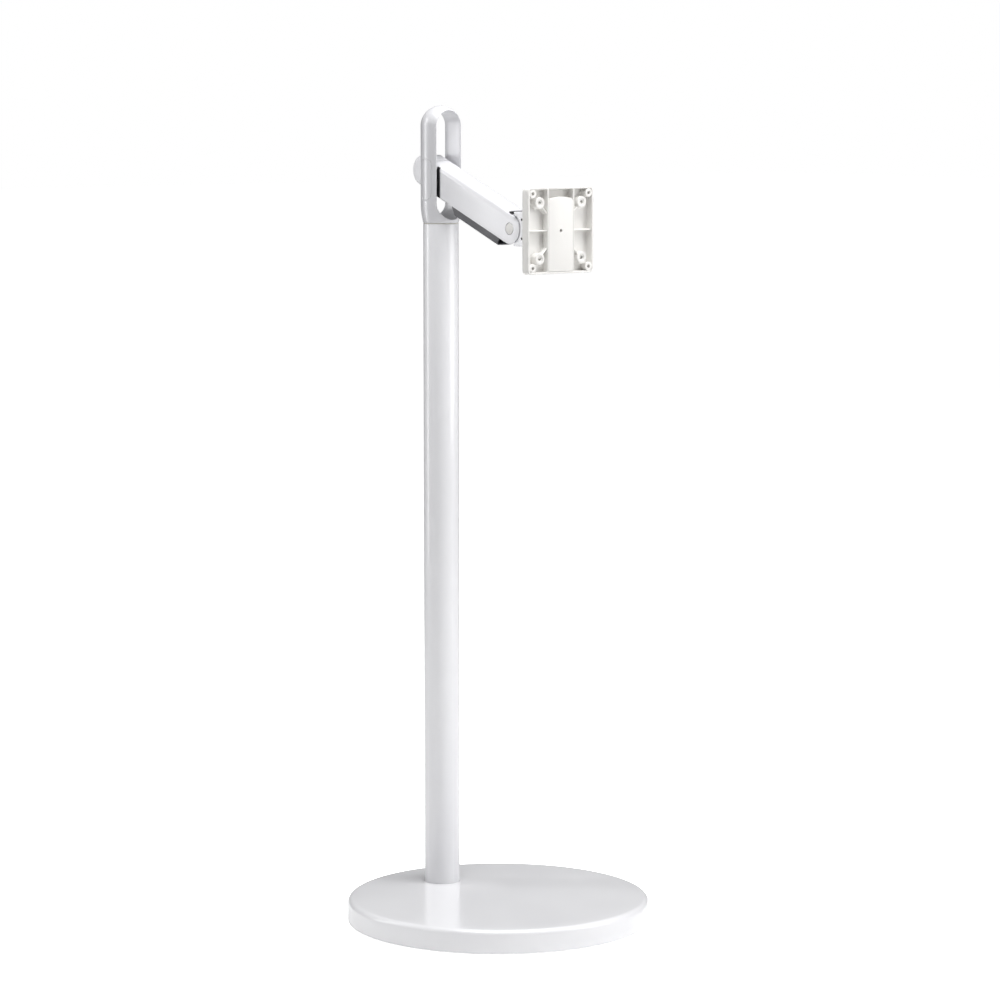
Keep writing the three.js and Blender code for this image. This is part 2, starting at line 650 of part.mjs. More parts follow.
// ---- wrist knuckle: origin on the tilt pin, level
function buildKnuckle(wrist) {
  const tongueHalf = innerHalfWidth - 2 * gap - tiltWasher;
  const arc = armHalfHeight + knuckleGap;
  const start = Math.acos(knuckleRear / arc);
  const body = sideways(outline([
    ...arcPoints([0, 0], arc, start, -start, arcSteps),
    [knuckleRear, -knuckleHalfHeight], [knuckleFront, -knuckleHalfHeight],
    [knuckleFront, knuckleHalfHeight], [knuckleRear, knuckleHalfHeight],
  ]), -armHalfWidth, armHalfWidth);
  const bore = pinRadius + gap + bushWall;
  let knuckle = body
    .add(bar('x', drumRadius, -tongueHalf, tongueHalf, [0, 0], roundSides))
    .add(block(-tongueHalf, tongueHalf, 0, knuckleFront - past, armWall - drumRadius, drumRadius - armWall))
    .subtract(bar('x', bore + gap, -armHalfWidth - past, armHalfWidth + past, [0, 0]));
  for (const end of [-1, 1]) {
    const [low, high] = ordered(end * lugInner, end * lugOuter);
    knuckle = knuckle
      .add(block(-lugRadius, lugRadius, knuckleFront - past, panOffset, low, high))
      .add(bar('z', lugRadius, low, high, [0, panOffset]));
  }
  knuckle = knuckle.subtract(bar('z', panPinRadius + gap, -2 * lugOuter, 2 * lugOuter, [0, panOffset]));
  const screws = [
    [-1, 1, 'left_upper'], [-1, -1, 'left_lower'],
    [1, 1, 'right_upper'], [1, -1, 'right_lower']];
  for (const [side, level, name] of screws) {
    const at = [knuckleScrewAt, level * knuckleScrewHeight];
    const end = armHalfWidth - knuckleScrewDepth;
    const hole = ordered(side * (end - gap), side * (armHalfWidth + past));
    const screw = ordered(side * end, side * (armHalfWidth - screwSink));
    knuckle = knuckle.subtract(bar('x', knuckleScrewRadius + gap, ...hole, at));
    add(wrist, `knuckle_screw_${name}`, bar('x', knuckleScrewRadius, ...screw, at), 'black');
  }
  add(wrist, 'wrist_knuckle', knuckle, 'paint');
  const bush = ring('x', bore, pinRadius + gap, -tongueHalf, tongueHalf, [0, 0]);
  add(wrist, 'tilt_bush', bush, 'nylon');

  const headFoot = lugOuter + gap;
  const pin = bar('z', panPinRadius, -lugOuter, headFoot + past, [0, panOffset], pinSides)
    .add(bar('z', panHeadRadius, headFoot, headFoot + panHead, [0, panOffset]));
  add(wrist, 'pan_pin', pin, 'steel');
}

// ---- pan hub: origin on the pan axis
function buildPanHub(pan) {
  const half = lugInner - gap;
  const spindleEnd = discFace + spindleLength;
  const hub = bar('z', hubRadius, -half, half, [0, 0])
    .add(block(-hubNeckHalfWidth, hubNeckHalfWidth, 0, discFace - past, -half, half))
    .add(bar('forward', discRadius, discStart, discFace, [0, 0], roundSides))
    .add(bar('forward', spindleRadius, discFace - past, spindleEnd, [0, 0]))
    .subtract(bar('z', panPinRadius + gap, -2 * half, 2 * half, [0, 0]))
    .subtract(bar('forward', spindleScrewRadius + gap, discFace, spindleEnd + past, [0, 0]));
  add(pan, 'pan_hub', hub, 'paint');
  const friction = ring('forward', discRadius, spindleRadius + gap, discFace + gap,
    discFace + gap + ringThickness, [0, 0], roundSides);
  add(pan, 'turn_friction_ring', friction, 'black');
  const washerStart = spindleEnd + gap;
  const headStart = washerStart + retainerThickness + gap;
  const washer = ring('forward', retainerRadius, spindleScrewRadius + gap, washerStart,
    washerStart + retainerThickness, [0, 0]);
  add(pan, 'spindle_washer', washer, 'steel');
  const headEnd = headStart + spindleScrewHead - 2 * gap;
  const screw = bar('forward', 2 * spindleScrewRadius, headStart, headEnd)
    .add(bar('forward', spindleScrewRadius, discFace + past, headStart + past, [0, 0]));
  add(pan, 'spindle_screw', screw, 'black');
}

// ---- mounting plate: same origin as the pan hub, turns about the spindle
function centreOutline(inset) {
  const half = centreHalfWidth - gap - inset;
  const foot = -plateHalf + plateRim + gap + inset;
  const sideTop = centreRise - inset;
  const archRadius = (half ** 2 + archRise ** 2) / (2 * archRise);
  const sweep = Math.asin(half / archRadius);
  const crown = [0, sideTop + archRise - archRadius];
  const arch = arcPoints(crown, archRadius, halfTurn / 2 - sweep, halfTurn / 2 + sweep, lidSteps);
  return outline([[half, foot], ...arch, [-half, foot]]);
}

function buildPlate(pan) {
  const rim = rectangle(plateHalf, -plateHalf, plateHalf, plateCorner, plateCorner);
  const innerHalf = plateHalf - plateRim;
  const wellCorner = plateCorner - plateRim;
  const well = rectangle(innerHalf, -innerHalf, innerHalf, wellCorner, wellCorner);
  const floorFace = plateStart + plateFloor;
  const ribTop = plateFront - ribDrop;
  let plate = forwards(rim, plateStart, plateFront)
    .subtract(forwards(well, floorFace, plateFront + past))
    .add(bar('forward', discRadius, plateStart - plateBoss, plateStart + past, [0, 0], roundSides))
    .add(bar('forward', socketRadius, plateStart, plateStart + socketHeight, [0, 0], capSides));
  for (const side of [-1, 1]) {
    const wall = ordered(side * centreHalfWidth, side * (centreHalfWidth + ribThickness));
    const cross = ordered(side * (centreHalfWidth + past), side * (innerHalf + past));
    plate = plate
      .add(block(...wall, plateStart + past, plateFront, -innerHalf - past, innerHalf + past))
      .add(block(...cross, plateStart + past, ribTop, -ribThickness / 2, ribThickness / 2));
    for (const level of [-1, 1]) {
      const place = (distance) => [side * distance, level * distance];
      const run = innerHole - centreHalfWidth - ribThickness / 2;
      const brace = new THREE.BoxGeometry(run * Math.SQRT2, ribTop - plateStart - past, ribThickness);
      brace.rotateY(-side * level * halfTurn / 4);
      const middle = innerHole - run / 2;
      brace.translate(side * middle, -(plateStart + past + ribTop) / 2, level * middle);
      plate = plate
        .add(solid(brace))
        .add(bar('forward', outerBossRadius, plateStart + past, plateFront, place(outerHole)))
        .add(bar('forward', innerBossRadius, plateStart + past, plateFront, place(innerHole)));
    }
  }
  const spindleWay = bar('forward', spindleRadius + gap, plateStart - plateBoss - past, plateFront);
  plate = plate.subtract(spindleWay);
  for (const [side, level] of [[-1, -1], [-1, 1], [1, -1], [1, 1]]) {
    for (const distance of [outerHole, innerHole]) {
      const at = [side * distance, level * distance];
      plate = plate.subtract(bar('forward', holeRadius, plateStart - past, plateFront + past, at));
    }
  }
  add(pan, 'mounting_plate', plate, 'moulding');

  const lid = forwards(centreOutline(0), floorFace + gap, plateFront)
    .subtract(forwards(centreOutline(centreWall), floorFace, plateFront - centreSkin))
    .subtract(bar('forward', keyHoleRadius, plateStart, plateFront + past, [0, 0], pinSides));
  add(pan, 'centre_cover', lid, 'moulding');
}

// ---- assembly
const display = new THREE.Group();
buildBase(display);
const column = nested(display, -columnOffset, 0);
buildColumn(column);
buildYoke(column);
const arm = nested(column, 0, pivotZ, armTilt);
buildArmSkin(arm);
buildArmRear(arm);
buildSpring(arm);
buildCableCover(arm);
buildFrontPin(arm);
const wrist = nested(arm, armLength, 0, -armTilt);
buildKnuckle(wrist);
const pan = nested(wrist, panOffset, 0);
buildPanHub(pan);
buildPlate(pan);

export default display;
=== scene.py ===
import json
import math

import bmesh
import bpy
import numpy as np
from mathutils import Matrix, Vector


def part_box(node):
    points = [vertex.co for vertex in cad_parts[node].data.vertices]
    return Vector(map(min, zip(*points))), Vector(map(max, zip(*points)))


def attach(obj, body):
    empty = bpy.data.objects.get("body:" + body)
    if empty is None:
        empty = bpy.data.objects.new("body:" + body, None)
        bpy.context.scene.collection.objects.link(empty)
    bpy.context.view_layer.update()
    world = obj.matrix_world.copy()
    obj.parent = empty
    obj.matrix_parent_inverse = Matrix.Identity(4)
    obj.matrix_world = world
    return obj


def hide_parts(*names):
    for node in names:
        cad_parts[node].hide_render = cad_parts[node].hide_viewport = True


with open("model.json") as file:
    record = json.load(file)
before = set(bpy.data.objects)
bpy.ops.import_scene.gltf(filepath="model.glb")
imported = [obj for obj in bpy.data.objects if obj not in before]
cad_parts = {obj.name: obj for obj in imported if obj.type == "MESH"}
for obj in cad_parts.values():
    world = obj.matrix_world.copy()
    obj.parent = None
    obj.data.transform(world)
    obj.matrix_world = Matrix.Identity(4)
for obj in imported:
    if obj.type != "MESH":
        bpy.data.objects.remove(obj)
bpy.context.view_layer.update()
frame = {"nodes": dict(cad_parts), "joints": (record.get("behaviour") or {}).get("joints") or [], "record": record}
mm = 0.001
tau = 2 * math.pi
anchors = {joint["name"]: np.array(joint["pos_m"]) for joint in frame["joints"]}
columnAxis = anchors["head_swivel"] * (1, 1, 0)
armDrop = anchors["arm_lift"] - anchors["wrist_tilt"]
armTilt = math.atan2(armDrop[2], armDrop[1])      # how far the arm hangs below the level
print("frame loaded:", len(frame["nodes"]), "nodes")


# shapes: grids of points and what is made of them
def quarter(steps=4):
    # angles of a quarter turn in even steps
    return np.linspace(0, math.pi / 2, steps + 1)


def place(across, ahead, up, origin=(0, 0, 0), tilt=0.0):
    # local millimetres to the frame: x stays, 'ahead' runs towards -Y, 'up' towards +Z,
    # both turned down by 'tilt' about the x axis through the origin
    across, ahead, up = np.broadcast_arrays(across, ahead, up)
    y = -(ahead * math.cos(tilt) + up * math.sin(tilt))
    z = up * math.cos(tilt) - ahead * math.sin(tilt)
    return np.stack([across, y, z], -1) * mm + np.array(origin)


def gridFaces(rows, columns, closedRows, closedColumns):
    # quads between neighbouring points of a rows x columns grid, wrapped where asked
    i = np.arange(rows if closedRows else rows - 1)[:, None]
    j = np.arange(columns if closedColumns else columns - 1)[None, :]
    i2, j2 = (i + 1) % rows, (j + 1) % columns
    corners = np.broadcast_arrays(i * columns + j, i * columns + j2, i2 * columns + j2, i2 * columns + j)
    return np.stack(corners, -1).reshape(-1, 4)


def skin(points, closedRows=False, closedColumns=True, lids=(True, True)):
    # (vertices, faces) of one grid of points; lids close the first and the last row with one face each
    rows, columns = points.shape[:2]
    faces = [tuple(face) for face in gridFaces(rows, columns, closedRows, closedColumns).tolist()]
    if not closedRows and closedColumns:
        if lids[0]:
            faces.append(tuple(range(columns)))
        if lids[1]:
            faces.append(tuple(range((rows - 1) * columns, rows * columns)))
    return points.reshape(-1, 3), faces


def makePiece(name, skins, sharpDegrees=32, mergeDistance=1e-6):
    # one object from one or more closed skins: doubles merged, faces turned outwards, edges smoothed
    allPoints, allFaces, offset = [], [], 0
    for points, faces in skins:
        allPoints.append(points)
        allFaces += [tuple(corner + offset for corner in face) for face in faces]
        offset += len(points)
    mesh = bpy.data.meshes.new(name)
    mesh.from_pydata(np.concatenate(allPoints).tolist(), [], allFaces)
    work = bmesh.new()
    work.from_mesh(mesh)
    bmesh.ops.remove_doubles(work, verts=work.verts, dist=mergeDistance)
    bmesh.ops.dissolve_degenerate(work, edges=work.edges, dist=mergeDistance)
    bmesh.ops.recalc_face_normals(work, faces=work.faces)
    work.to_mesh(mesh)
    work.free()
    mesh.shade_smooth()
    mesh.set_sharp_from_angle(angle=math.radians(sharpDegrees))
    piece = bpy.data.objects.new(name, mesh)
    bpy.context.scene.collection.objects.link(piece)
    return piece


def drill(piece, cutters, sharpDegrees=32):
    # takes the closed skins in 'cutters' out of the piece
    tool = makePiece(piece.name + "_tool", cutters)
    cut = piece.modifiers.new("holes", "BOOLEAN")
    cut.object = tool
    cut.solver = "EXACT"
    bpy.context.view_layer.update()
    done = bpy.data.meshes.new_from_object(piece.evaluated_get(bpy.context.evaluated_depsgraph_get()))
    piece.modifiers.clear()
    piece.data = done
    done.name = piece.name
    done.shade_smooth()
    done.set_sharp_from_angle(angle=math.radians(sharpDegrees))
    bpy.data.objects.remove(tool)
    return piece


def corners(points, radii, steps=6, closed=True):
    # outline of straight runs whose corners are arcs: for each point its arc centre, its direction
    # outwards and its signed radius, so that centre + (radius - inset) * direction is the outline moved in
    p = np.array(points, float)
    r = np.broadcast_to(np.array(radii, float), len(p))
    back, on = np.roll(p, 1, 0) - p, np.roll(p, -1, 0) - p
    if not closed:
        back[0], on[-1] = -on[0], -back[-1]
    a = back / np.linalg.norm(back, axis=1, keepdims=True)
    b = on / np.linalg.norm(on, axis=1, keepdims=True)
    turn = b[:, 0] * -a[:, 1] + b[:, 1] * a[:, 0]     # > 0 where the outline turns right
    outA, outB = np.stack([-a[:, 1], a[:, 0]], 1), np.stack([b[:, 1], -b[:, 0]], 1)
    convex = np.where(turn > 0, -1.0, 1.0)
    middle = outA + outB
    middle /= np.linalg.norm(middle, axis=1, keepdims=True)
    reach = 1 / np.sum(middle * outA, 1)
    signed = r * convex
    centre = p - middle * (signed * reach)[:, None]
    sweep = np.arctan2(outA[:, 0] * outB[:, 1] - outA[:, 1] * outB[:, 0], np.sum(outA * outB, 1))
    k = np.linspace(0, 1, steps + 1)
    angle = np.arctan2(outA[:, 1], outA[:, 0])[:, None] + sweep[:, None] * k
    direction = np.stack([np.cos(angle), np.sin(angle)], -1)
    sharp = (r < 1e-9)[:, None, None]
    direction = np.where(sharp, middle[:, None, :] * reach[:, None, None], direction)
    size = np.broadcast_to(signed[:, None], angle.shape)
    return np.repeat(centre, steps + 1, 0), direction.reshape(-1, 2), size.reshape(-1)


def rectangle(x0, x1, y0, y1, radii=0, steps=6):
    # outline of a rectangle, its corners rounded, from the lower left one round by the lower right
    return corners([(x0, y0), (x1, y0), (x1, y1), (x0, y1)], radii, steps)


def insetBy(outline, inset):
    # the outline moved inwards by each of the insets: one row of points for each
    centre, direction, radius = outline
    inset = np.atleast_1d(inset)
    return centre + (radius - inset[:, None])[..., None] * direction


def arc(centre, radius, start, end, steps):
    # round stretch of an outline, in the form that corners() gives
    angle = np.radians(np.linspace(start, end, steps + 1))
    direction = np.stack([np.cos(angle), np.sin(angle)], 1)
    middle = np.broadcast_to(np.array(centre, float), direction.shape)
    return middle, direction, np.full(len(angle), float(radius))


def joined(*outlines):
    # several outlines end to end as one
    return tuple(np.concatenate(parts) for parts in zip(*outlines))


def wall(start, end, startRound, endRound, steps=4):
    # depth and inset of a wall from 'start' to 'end' whose two edges are quarter rounds
    k = quarter(steps)
    way = 1 if end > start else -1
    depth = np.concatenate([start + way * startRound * (1 - np.cos(k)),
                            end - way * endRound * (1 - np.sin(k))])
    inset = np.concatenate([startRound * (1 - np.sin(k)), endRound * (1 - np.cos(k))])
    return depth, inset


def slab(outline, start, end, startRound, endRound, axis, origin, tilt=0.0, steps=4):
    # solid whose outline is carried along an axis and rounded at both its edges
    depth, inset = wall(start, end, startRound, endRound, steps)
    flat = insetBy(outline, inset)
    depth = depth[:, None]
    u, v = flat[..., 0], flat[..., 1]
    local = {"x": (depth, u, v), "ahead": (u, depth, v), "up": (u, v, depth)}[axis]
    return skin(place(*local, origin, tilt))


def turned(profile, axis, origin, tilt=0.0, middle=(0, 0), closed=False, steps=64, lids=None):
    # a profile of (radius, along) turned about an axis through 'middle'
    radius, along = np.array(profile, float).T[..., None]
    angle = np.linspace(0, tau, steps, endpoint=False)
    u, v = middle[0] + radius * np.cos(angle), middle[1] + radius * np.sin(angle)
    local = {"x": (along, u, v), "ahead": (u, along, v), "up": (u, v, along)}[axis]
    lids = lids or (profile[0][0] > 0, profile[-1][0] > 0)
    return skin(place(*local, origin, tilt), closedRows=closed, lids=lids)


def softened(points, radii, steps=4):
    # closed profile with round corners, as points
    return insetBy(corners(points, radii, steps), 0)[0]


def ring(outer, inner, start, end, edge, axis, origin, tilt=0.0, middle=(0, 0), steps=64):
    # a rectangle between the two radii and the two places, turned right round
    profile = insetBy(rectangle(inner, outer, start, end, edge, 3), 0)[0]
    return turned(profile, axis, origin, tilt, middle, closed=True, steps=steps)


def disc(radius, start, end, edge, axis, origin, tilt=0.0, middle=(0, 0), steps=64):
    # a round wall with both its rims rounded, closed at both ends
    depth, inset = wall(start, end, edge, edge)
    return turned(np.stack([radius - inset, depth], 1), axis, origin, tilt, middle, steps=steps)


def finish(piece, body, slotName, *nodes):
    # gives the piece its finish and its body, and hides the frame nodes that it stands for
    piece.data.materials.clear()
    piece.data.materials.append(finishOf[slotName])
    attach(piece, body)
    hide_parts(*nodes)


def span(node, axis):
    # lowest and highest place of a frame node along one axis, in millimetres
    low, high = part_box(node)
    return low[axis] / mm, high[axis] / mm


# finishes
def linear(code, alpha=1.0):
    # sRGB hex code to the linear colour that shaders work in
    parts = [int(code[i:i + 2], 16) / 255 for i in (1, 3, 5)]
    return [p / 12.92 if p <= 0.04045 else ((p + 0.055) / 1.055) ** 2.4 for p in parts] + [alpha]


def addNode(tree, kind, settings=None, links=None):
    # one node, with its own settings and its inputs set or linked by name
    node = tree.nodes.new(kind)
    for key, value in (settings or {}).items():
        setattr(node, key, value)
    for key, value in (links or {}).items():
        if isinstance(value, bpy.types.NodeSocket):
            tree.links.new(value, node.inputs[key])
        else:
            node.inputs[key].default_value = value
    return node


def mixed(tree, share, first, second):
    # colour between two others
    mix = addNode(tree, "ShaderNodeMix", {"data_type": "RGBA"}, {0: share, 6: first, 7: second})
    return mix.outputs[2]


def ranged(tree, value, start, end, low, high, kind="LINEAR"):
    # a value from start to end, brought to low to high and held there
    return addNode(tree, "ShaderNodeMapRange", {"interpolation_type": kind}, {
        "Value": value, "From Min": start, "From Max": end, "To Min": low, "To Max": high}).outputs[0]


def newTree(block):
    # the emptied node tree of a material or a world
    block.use_nodes = True
    block.node_tree.nodes.clear()
    return block.node_tree


def surfaceMaterial(look):
    # a paint, plastic or metal: two close tones mixed by a broad cloud, gloss that wanders a little,
    #     # fine relief at its real pitch, and a paler tone on edges where the surface turns sharply: a painted
    #     edge highlight, and rubbed wear on the dark finishes
    material = bpy.data.materials.new(look["name"])
    tree = newTree(material)
    where = addNode(tree, "ShaderNodeTexCoord").outputs["Object"]
    stretched = addNode(tree, "ShaderNodeMapping", None, {
        "Vector": where, "Scale": look.get("stretch", (1, 1, 1))})
    cloud = addNode(tree, "ShaderNodeTexNoise", None, {
        "Vector": where, "Scale": 1 / (look["cloudSize"] * mm), "Detail": 3.0, "Roughness": 0.55})
    tones = mixed(tree, cloud.outputs["Fac"], *(linear(tone) for tone in look["tones"]))
    grain = addNode(tree, "ShaderNodeTexNoise", None, {
        "Vector": stretched.outputs[0], "Scale": 1 / (look["grainSize"] * mm),
        "Detail": 2.0, "Roughness": 0.5})
    edge = addNode(tree, "ShaderNodeNewGeometry")
    # paler edgeTone on sharp convex edges: painted edge highlight, and rubbed wear on the dark finishes
    edgeSheenAndWear = ranged(tree, edge.outputs["Pointiness"], 0.53, 0.62, 0.0, look["edgeShare"], "SMOOTHSTEP")
    colour = mixed(tree, edgeSheenAndWear, tones, linear(look["edgeTone"]))
    if "fleck" in look:
        flakes = addNode(tree, "ShaderNodeTexVoronoi", None, {
            "Vector": where, "Scale": 1 / (look["fleckSize"] * mm), "Randomness": 1.0})
        flakeShare = ranged(tree, flakes.outputs["Color"], 0.55, 1.0, 0.0, look["fleckShare"])
        colour = mixed(tree, flakeShare, colour, linear(look["fleck"]))
    gloss = ranged(tree, cloud.outputs["Fac"], 0.3, 0.7, *look["roughness"])
    relief = addNode(tree, "ShaderNodeBump", None, {
        "Height": grain.outputs["Fac"], "Strength": look["reliefStrength"], "Distance": look["relief"] * mm})
    shader = addNode(tree, "ShaderNodeBsdfPrincipled", None, {
        "Base Color": colour, "Roughness": gloss, "Normal": relief.outputs[0],
        "Metallic": look.get("metallic", 0.0), "Coat Weight": look.get("coat", 0.0),
        "Coat Roughness": look.get("coatRoughness", 0.1)})
    if "ior" in look:
        shader.inputs["IOR"].default_value = look["ior"]
    addNode(tree, "ShaderNodeOutputMaterial", None, {"Surface": shader.outputs[0]})
    return material


# edgeTone and edgeShare give the paler tone on sharp edges: a painted edge highlight, and rubbed wear on the dark
# finishes
looks = {
    # gloss white powder coat on steel: faint orange peel of about 1.5 mm and a clear wet-looking top
    "painted_steel": {
        "name": "white_powder_coat", "tones": ("#e6e6e9", "#ebebed"), "cloudSize": 90,
        "grainSize": 1.6, "relief": 0.02, "reliefStrength": 0.35, "roughness": (0.30, 0.38),
        "coat": 0.6, "coatRoughness": 0.12, "edgeTone": "#f4f4f6", "edgeShare": 0.35, "ior": 1.5},
    # silver-white two-coat paint on the castings: fine metal flake under a satin top
    "painted_casting": {
        "name": "silver_white_casting_paint", "tones": ("#d6d6d9", "#dbdbde"), "cloudSize": 60,
        "grainSize": 0.9, "relief": 0.012, "reliefStrength": 0.3, "roughness": (0.30, 0.37), "metallic": 0.15,
        "fleck": "#f2f2f6", "fleckSize": 0.35, "fleckShare": 0.25,
        "coat": 0.35, "coatRoughness": 0.22, "edgeTone": "#ececf0", "edgeShare": 0.4, "ior": 1.5},
    # moulded white ABS: slightly warm, spark-eroded grain of about 0.4 mm, satin
    "white_abs": {
        "name": "moulded_white_abs", "tones": ("#e2e0dd", "#e6e5e2"), "cloudSize": 35,
        "grainSize": 0.45, "relief": 0.012, "reliefStrength": 0.35, "roughness": (0.42, 0.5),
        "edgeTone": "#f8f7f5", "edgeShare": 0.3, "ior": 1.53},
    # glass-filled black nylon: matt, with pale fibres showing as specks
    "black_nylon": {
        "name": "glass_filled_black_nylon", "tones": ("#141415", "#1c1c1d"), "cloudSize": 12,
        "grainSize": 0.5, "relief": 0.02, "reliefStrength": 0.5, "roughness": (0.48, 0.6),
        "fleck": "#3a3a3c", "fleckSize": 0.5, "fleckShare": 0.25,
        "edgeTone": "#2c2c2e", "edgeShare": 0.5, "ior": 1.53},
    # graphite grey ABS of the cable cover: satin, fine moulded grain
    "graphite_abs": {
        "name": "graphite_abs", "tones": ("#4b4b50", "#55555a"), "cloudSize": 30,
        "grainSize": 0.5, "relief": 0.015, "reliefStrength": 0.4, "roughness": (0.36, 0.44),
        "edgeTone": "#77777d", "edgeShare": 0.4, "ior": 1.53},
    # zinc-plated turned steel: brushed round by the tool, with a bluish passivated tint
    "zinc_steel": {
        "name": "zinc_plated_steel", "tones": ("#b4b7bc", "#c4c6c9"), "cloudSize": 14,
        "grainSize": 0.6, "stretch": (6, 1, 1), "relief": 0.01, "reliefStrength": 0.5,
        "roughness": (0.28, 0.4), "metallic": 1.0, "edgeTone": "#dcdde0", "edgeShare": 0.5},
    # natural nylon bushes: milky off-white, soft edges
    "natural_nylon": {
        "name": "natural_nylon", "tones": ("#dedbd0", "#e5e2d8"), "cloudSize": 15,
        "grainSize": 0.6, "relief": 0.01, "reliefStrength": 0.4, "roughness": (0.4, 0.5),
        "edgeTone": "#efece2", "edgeShare": 0.4, "ior": 1.53},
    # sand-cast iron weight: dark grey, pitted by 2 mm sand grain
    "cast_iron_weight": {
        "name": "sand_cast_iron", "tones": ("#3d3d40", "#4c4c4f"), "cloudSize": 20,
        "grainSize": 2.0, "relief": 0.25, "reliefStrength": 0.8, "roughness": (0.65, 0.8), "metallic": 0.6,
        "edgeTone": "#6a6a6e", "edgeShare": 0.5},
    # moulded rubber foot pads: dead matt dark grey
    "foot_rubber": {
        "name": "moulded_foot_rubber", "tones": ("#202021", "#29292a"), "cloudSize": 10,
        "grainSize": 0.8, "relief": 0.05, "reliefStrength": 0.6, "roughness": (0.8, 0.92),
        "edgeTone": "#3b3b3c", "edgeShare": 0.5, "ior": 1.52},
}
finishOf = {slot: surfaceMaterial(look) for slot, look in looks.items()}
for part in frame["record"]["subparts"]:
    nodeMesh = frame["nodes"][part["node"]].data
    nodeMesh.materials.clear()
    nodeMesh.materials.append(finishOf[part["material_slot"]])
print("finishes made:", len(finishOf))


# camera, floor and light
studio = {"lens": 127.19, "place": (-3.1552, -3.7265, 1.1692), "down": 6.713, "turn": 40.283,
          "sensor": 36, "floorHalf": 30.0, "floorTone": "#f6f6f6", "floorGlow": 0.95, "floorBounce": 0.1,
          "ambient": 0.07, "backdrop": 1.0}


def bySight(tree, seen, unseen):
    # one strength for what the camera sees, another for the light it throws
    path = addNode(tree, "ShaderNodeLightPath")
    return addNode(tree, "ShaderNodeMix", {"data_type": "FLOAT"}, {
        0: path.outputs["Is Camera Ray"], 2: unseen, 3: seen}).outputs[0]


def makeCamera():
    # stands at 'place', turned right by 'turn' and tipped by 'down' from the level
    lens = bpy.data.cameras.new("camera")
    lens.lens, lens.sensor_width = studio["lens"], studio["sensor"]
    camera = bpy.data.objects.new("camera", lens)
    camera.location = studio["place"]
    camera.rotation_euler = (math.radians(90 - studio["down"]), 0, -math.radians(studio["turn"]))
    bpy.context.scene.collection.objects.link(camera)
    bpy.context.scene.camera = camera


def makeFloor():
    # plain white sheet, bright to the camera and dim to all that it lights
    half = studio["floorHalf"]
    mesh = bpy.data.meshes.new("floor")
    ends = [(-half, -half, 0), (half, -half, 0), (half, half, 0), (-half, half, 0)]
    mesh.from_pydata(ends, [], [(0, 1, 2, 3)])
    floor = bpy.data.objects.new("floor", mesh)
    bpy.context.scene.collection.objects.link(floor)
    material = bpy.data.materials.new("floor_paper")
    tree = newTree(material)
    glow = bySight(tree, studio["floorGlow"], studio["floorBounce"])
    shader = addNode(tree, "ShaderNodeBsdfPrincipled", None, {
        "Base Color": linear(studio["floorTone"]), "Roughness": 0.9, "Specular IOR Level": 0.1,
        "Emission Color": (1, 1, 1, 1), "Emission Strength": glow})
    addNode(tree, "ShaderNodeOutputMaterial", None, {"Surface": shader.outputs[0]})
    mesh.materials.append(material)


def makeWorld():
    # white to the camera, softer to everything it lights
    world = bpy.data.worlds.new("studio")
    bpy.context.scene.world = world
    tree = newTree(world)
    glow = addNode(tree, "ShaderNodeBackground", None, {
        "Color": (1, 1, 1, 1), "Strength": bySight(tree, studio["backdrop"], studio["ambient"])})
    addNode(tree, "ShaderNodeOutputWorld", None, {"Surface": glow.outputs[0]})


def softbox(name, turn, rise, distance, width, height, power, target=(0, 0.05, 0.75)):
    # area light seen at 'turn' degrees round from the camera's side (left is negative), facing the target
    a = math.radians(turn - studio["turn"])
    e = math.radians(rise)
    away = np.array([math.sin(a) * math.cos(e), -math.cos(a) * math.cos(e), math.sin(e)])
    light = bpy.data.lights.new(name, "AREA")
    light.shape, light.size, light.size_y, light.energy = "RECTANGLE", width, height, power
    lamp = bpy.data.objects.new(name, light)
    lamp.location = np.array(target) + away * distance
    lamp.rotation_euler = Vector(away).to_track_quat("Z", "Y").to_euler()
    bpy.context.scene.collection.objects.link(lamp)


makeCamera()
makeFloor()
makeWorld()
softboxes = {                                # turn, rise, distance, width, height, power
    "key_right": (78, 22, 2.6, 1.6, 2.4, 38), "strip_left": (-98, 12, 2.4, 0.35, 2.2, 15),
    "overhead": (20, 76, 2.4, 2.0, 2.0, 102)}
for name, setting in softboxes.items():
    softbox(name, *setting)
scene = bpy.context.scene
scene.view_settings.view_transform = "Standard"
print("studio set")

# base and column
base = {"edge": 8, "shell": 1.6, "lift": 1.2, "hole": 25.3, "holeEdge": 0.5, "skirtEdge": 0.5,
        "flatRows": 14, "edgeSteps": 10, "steps": 192, "padEdge": 0.9}


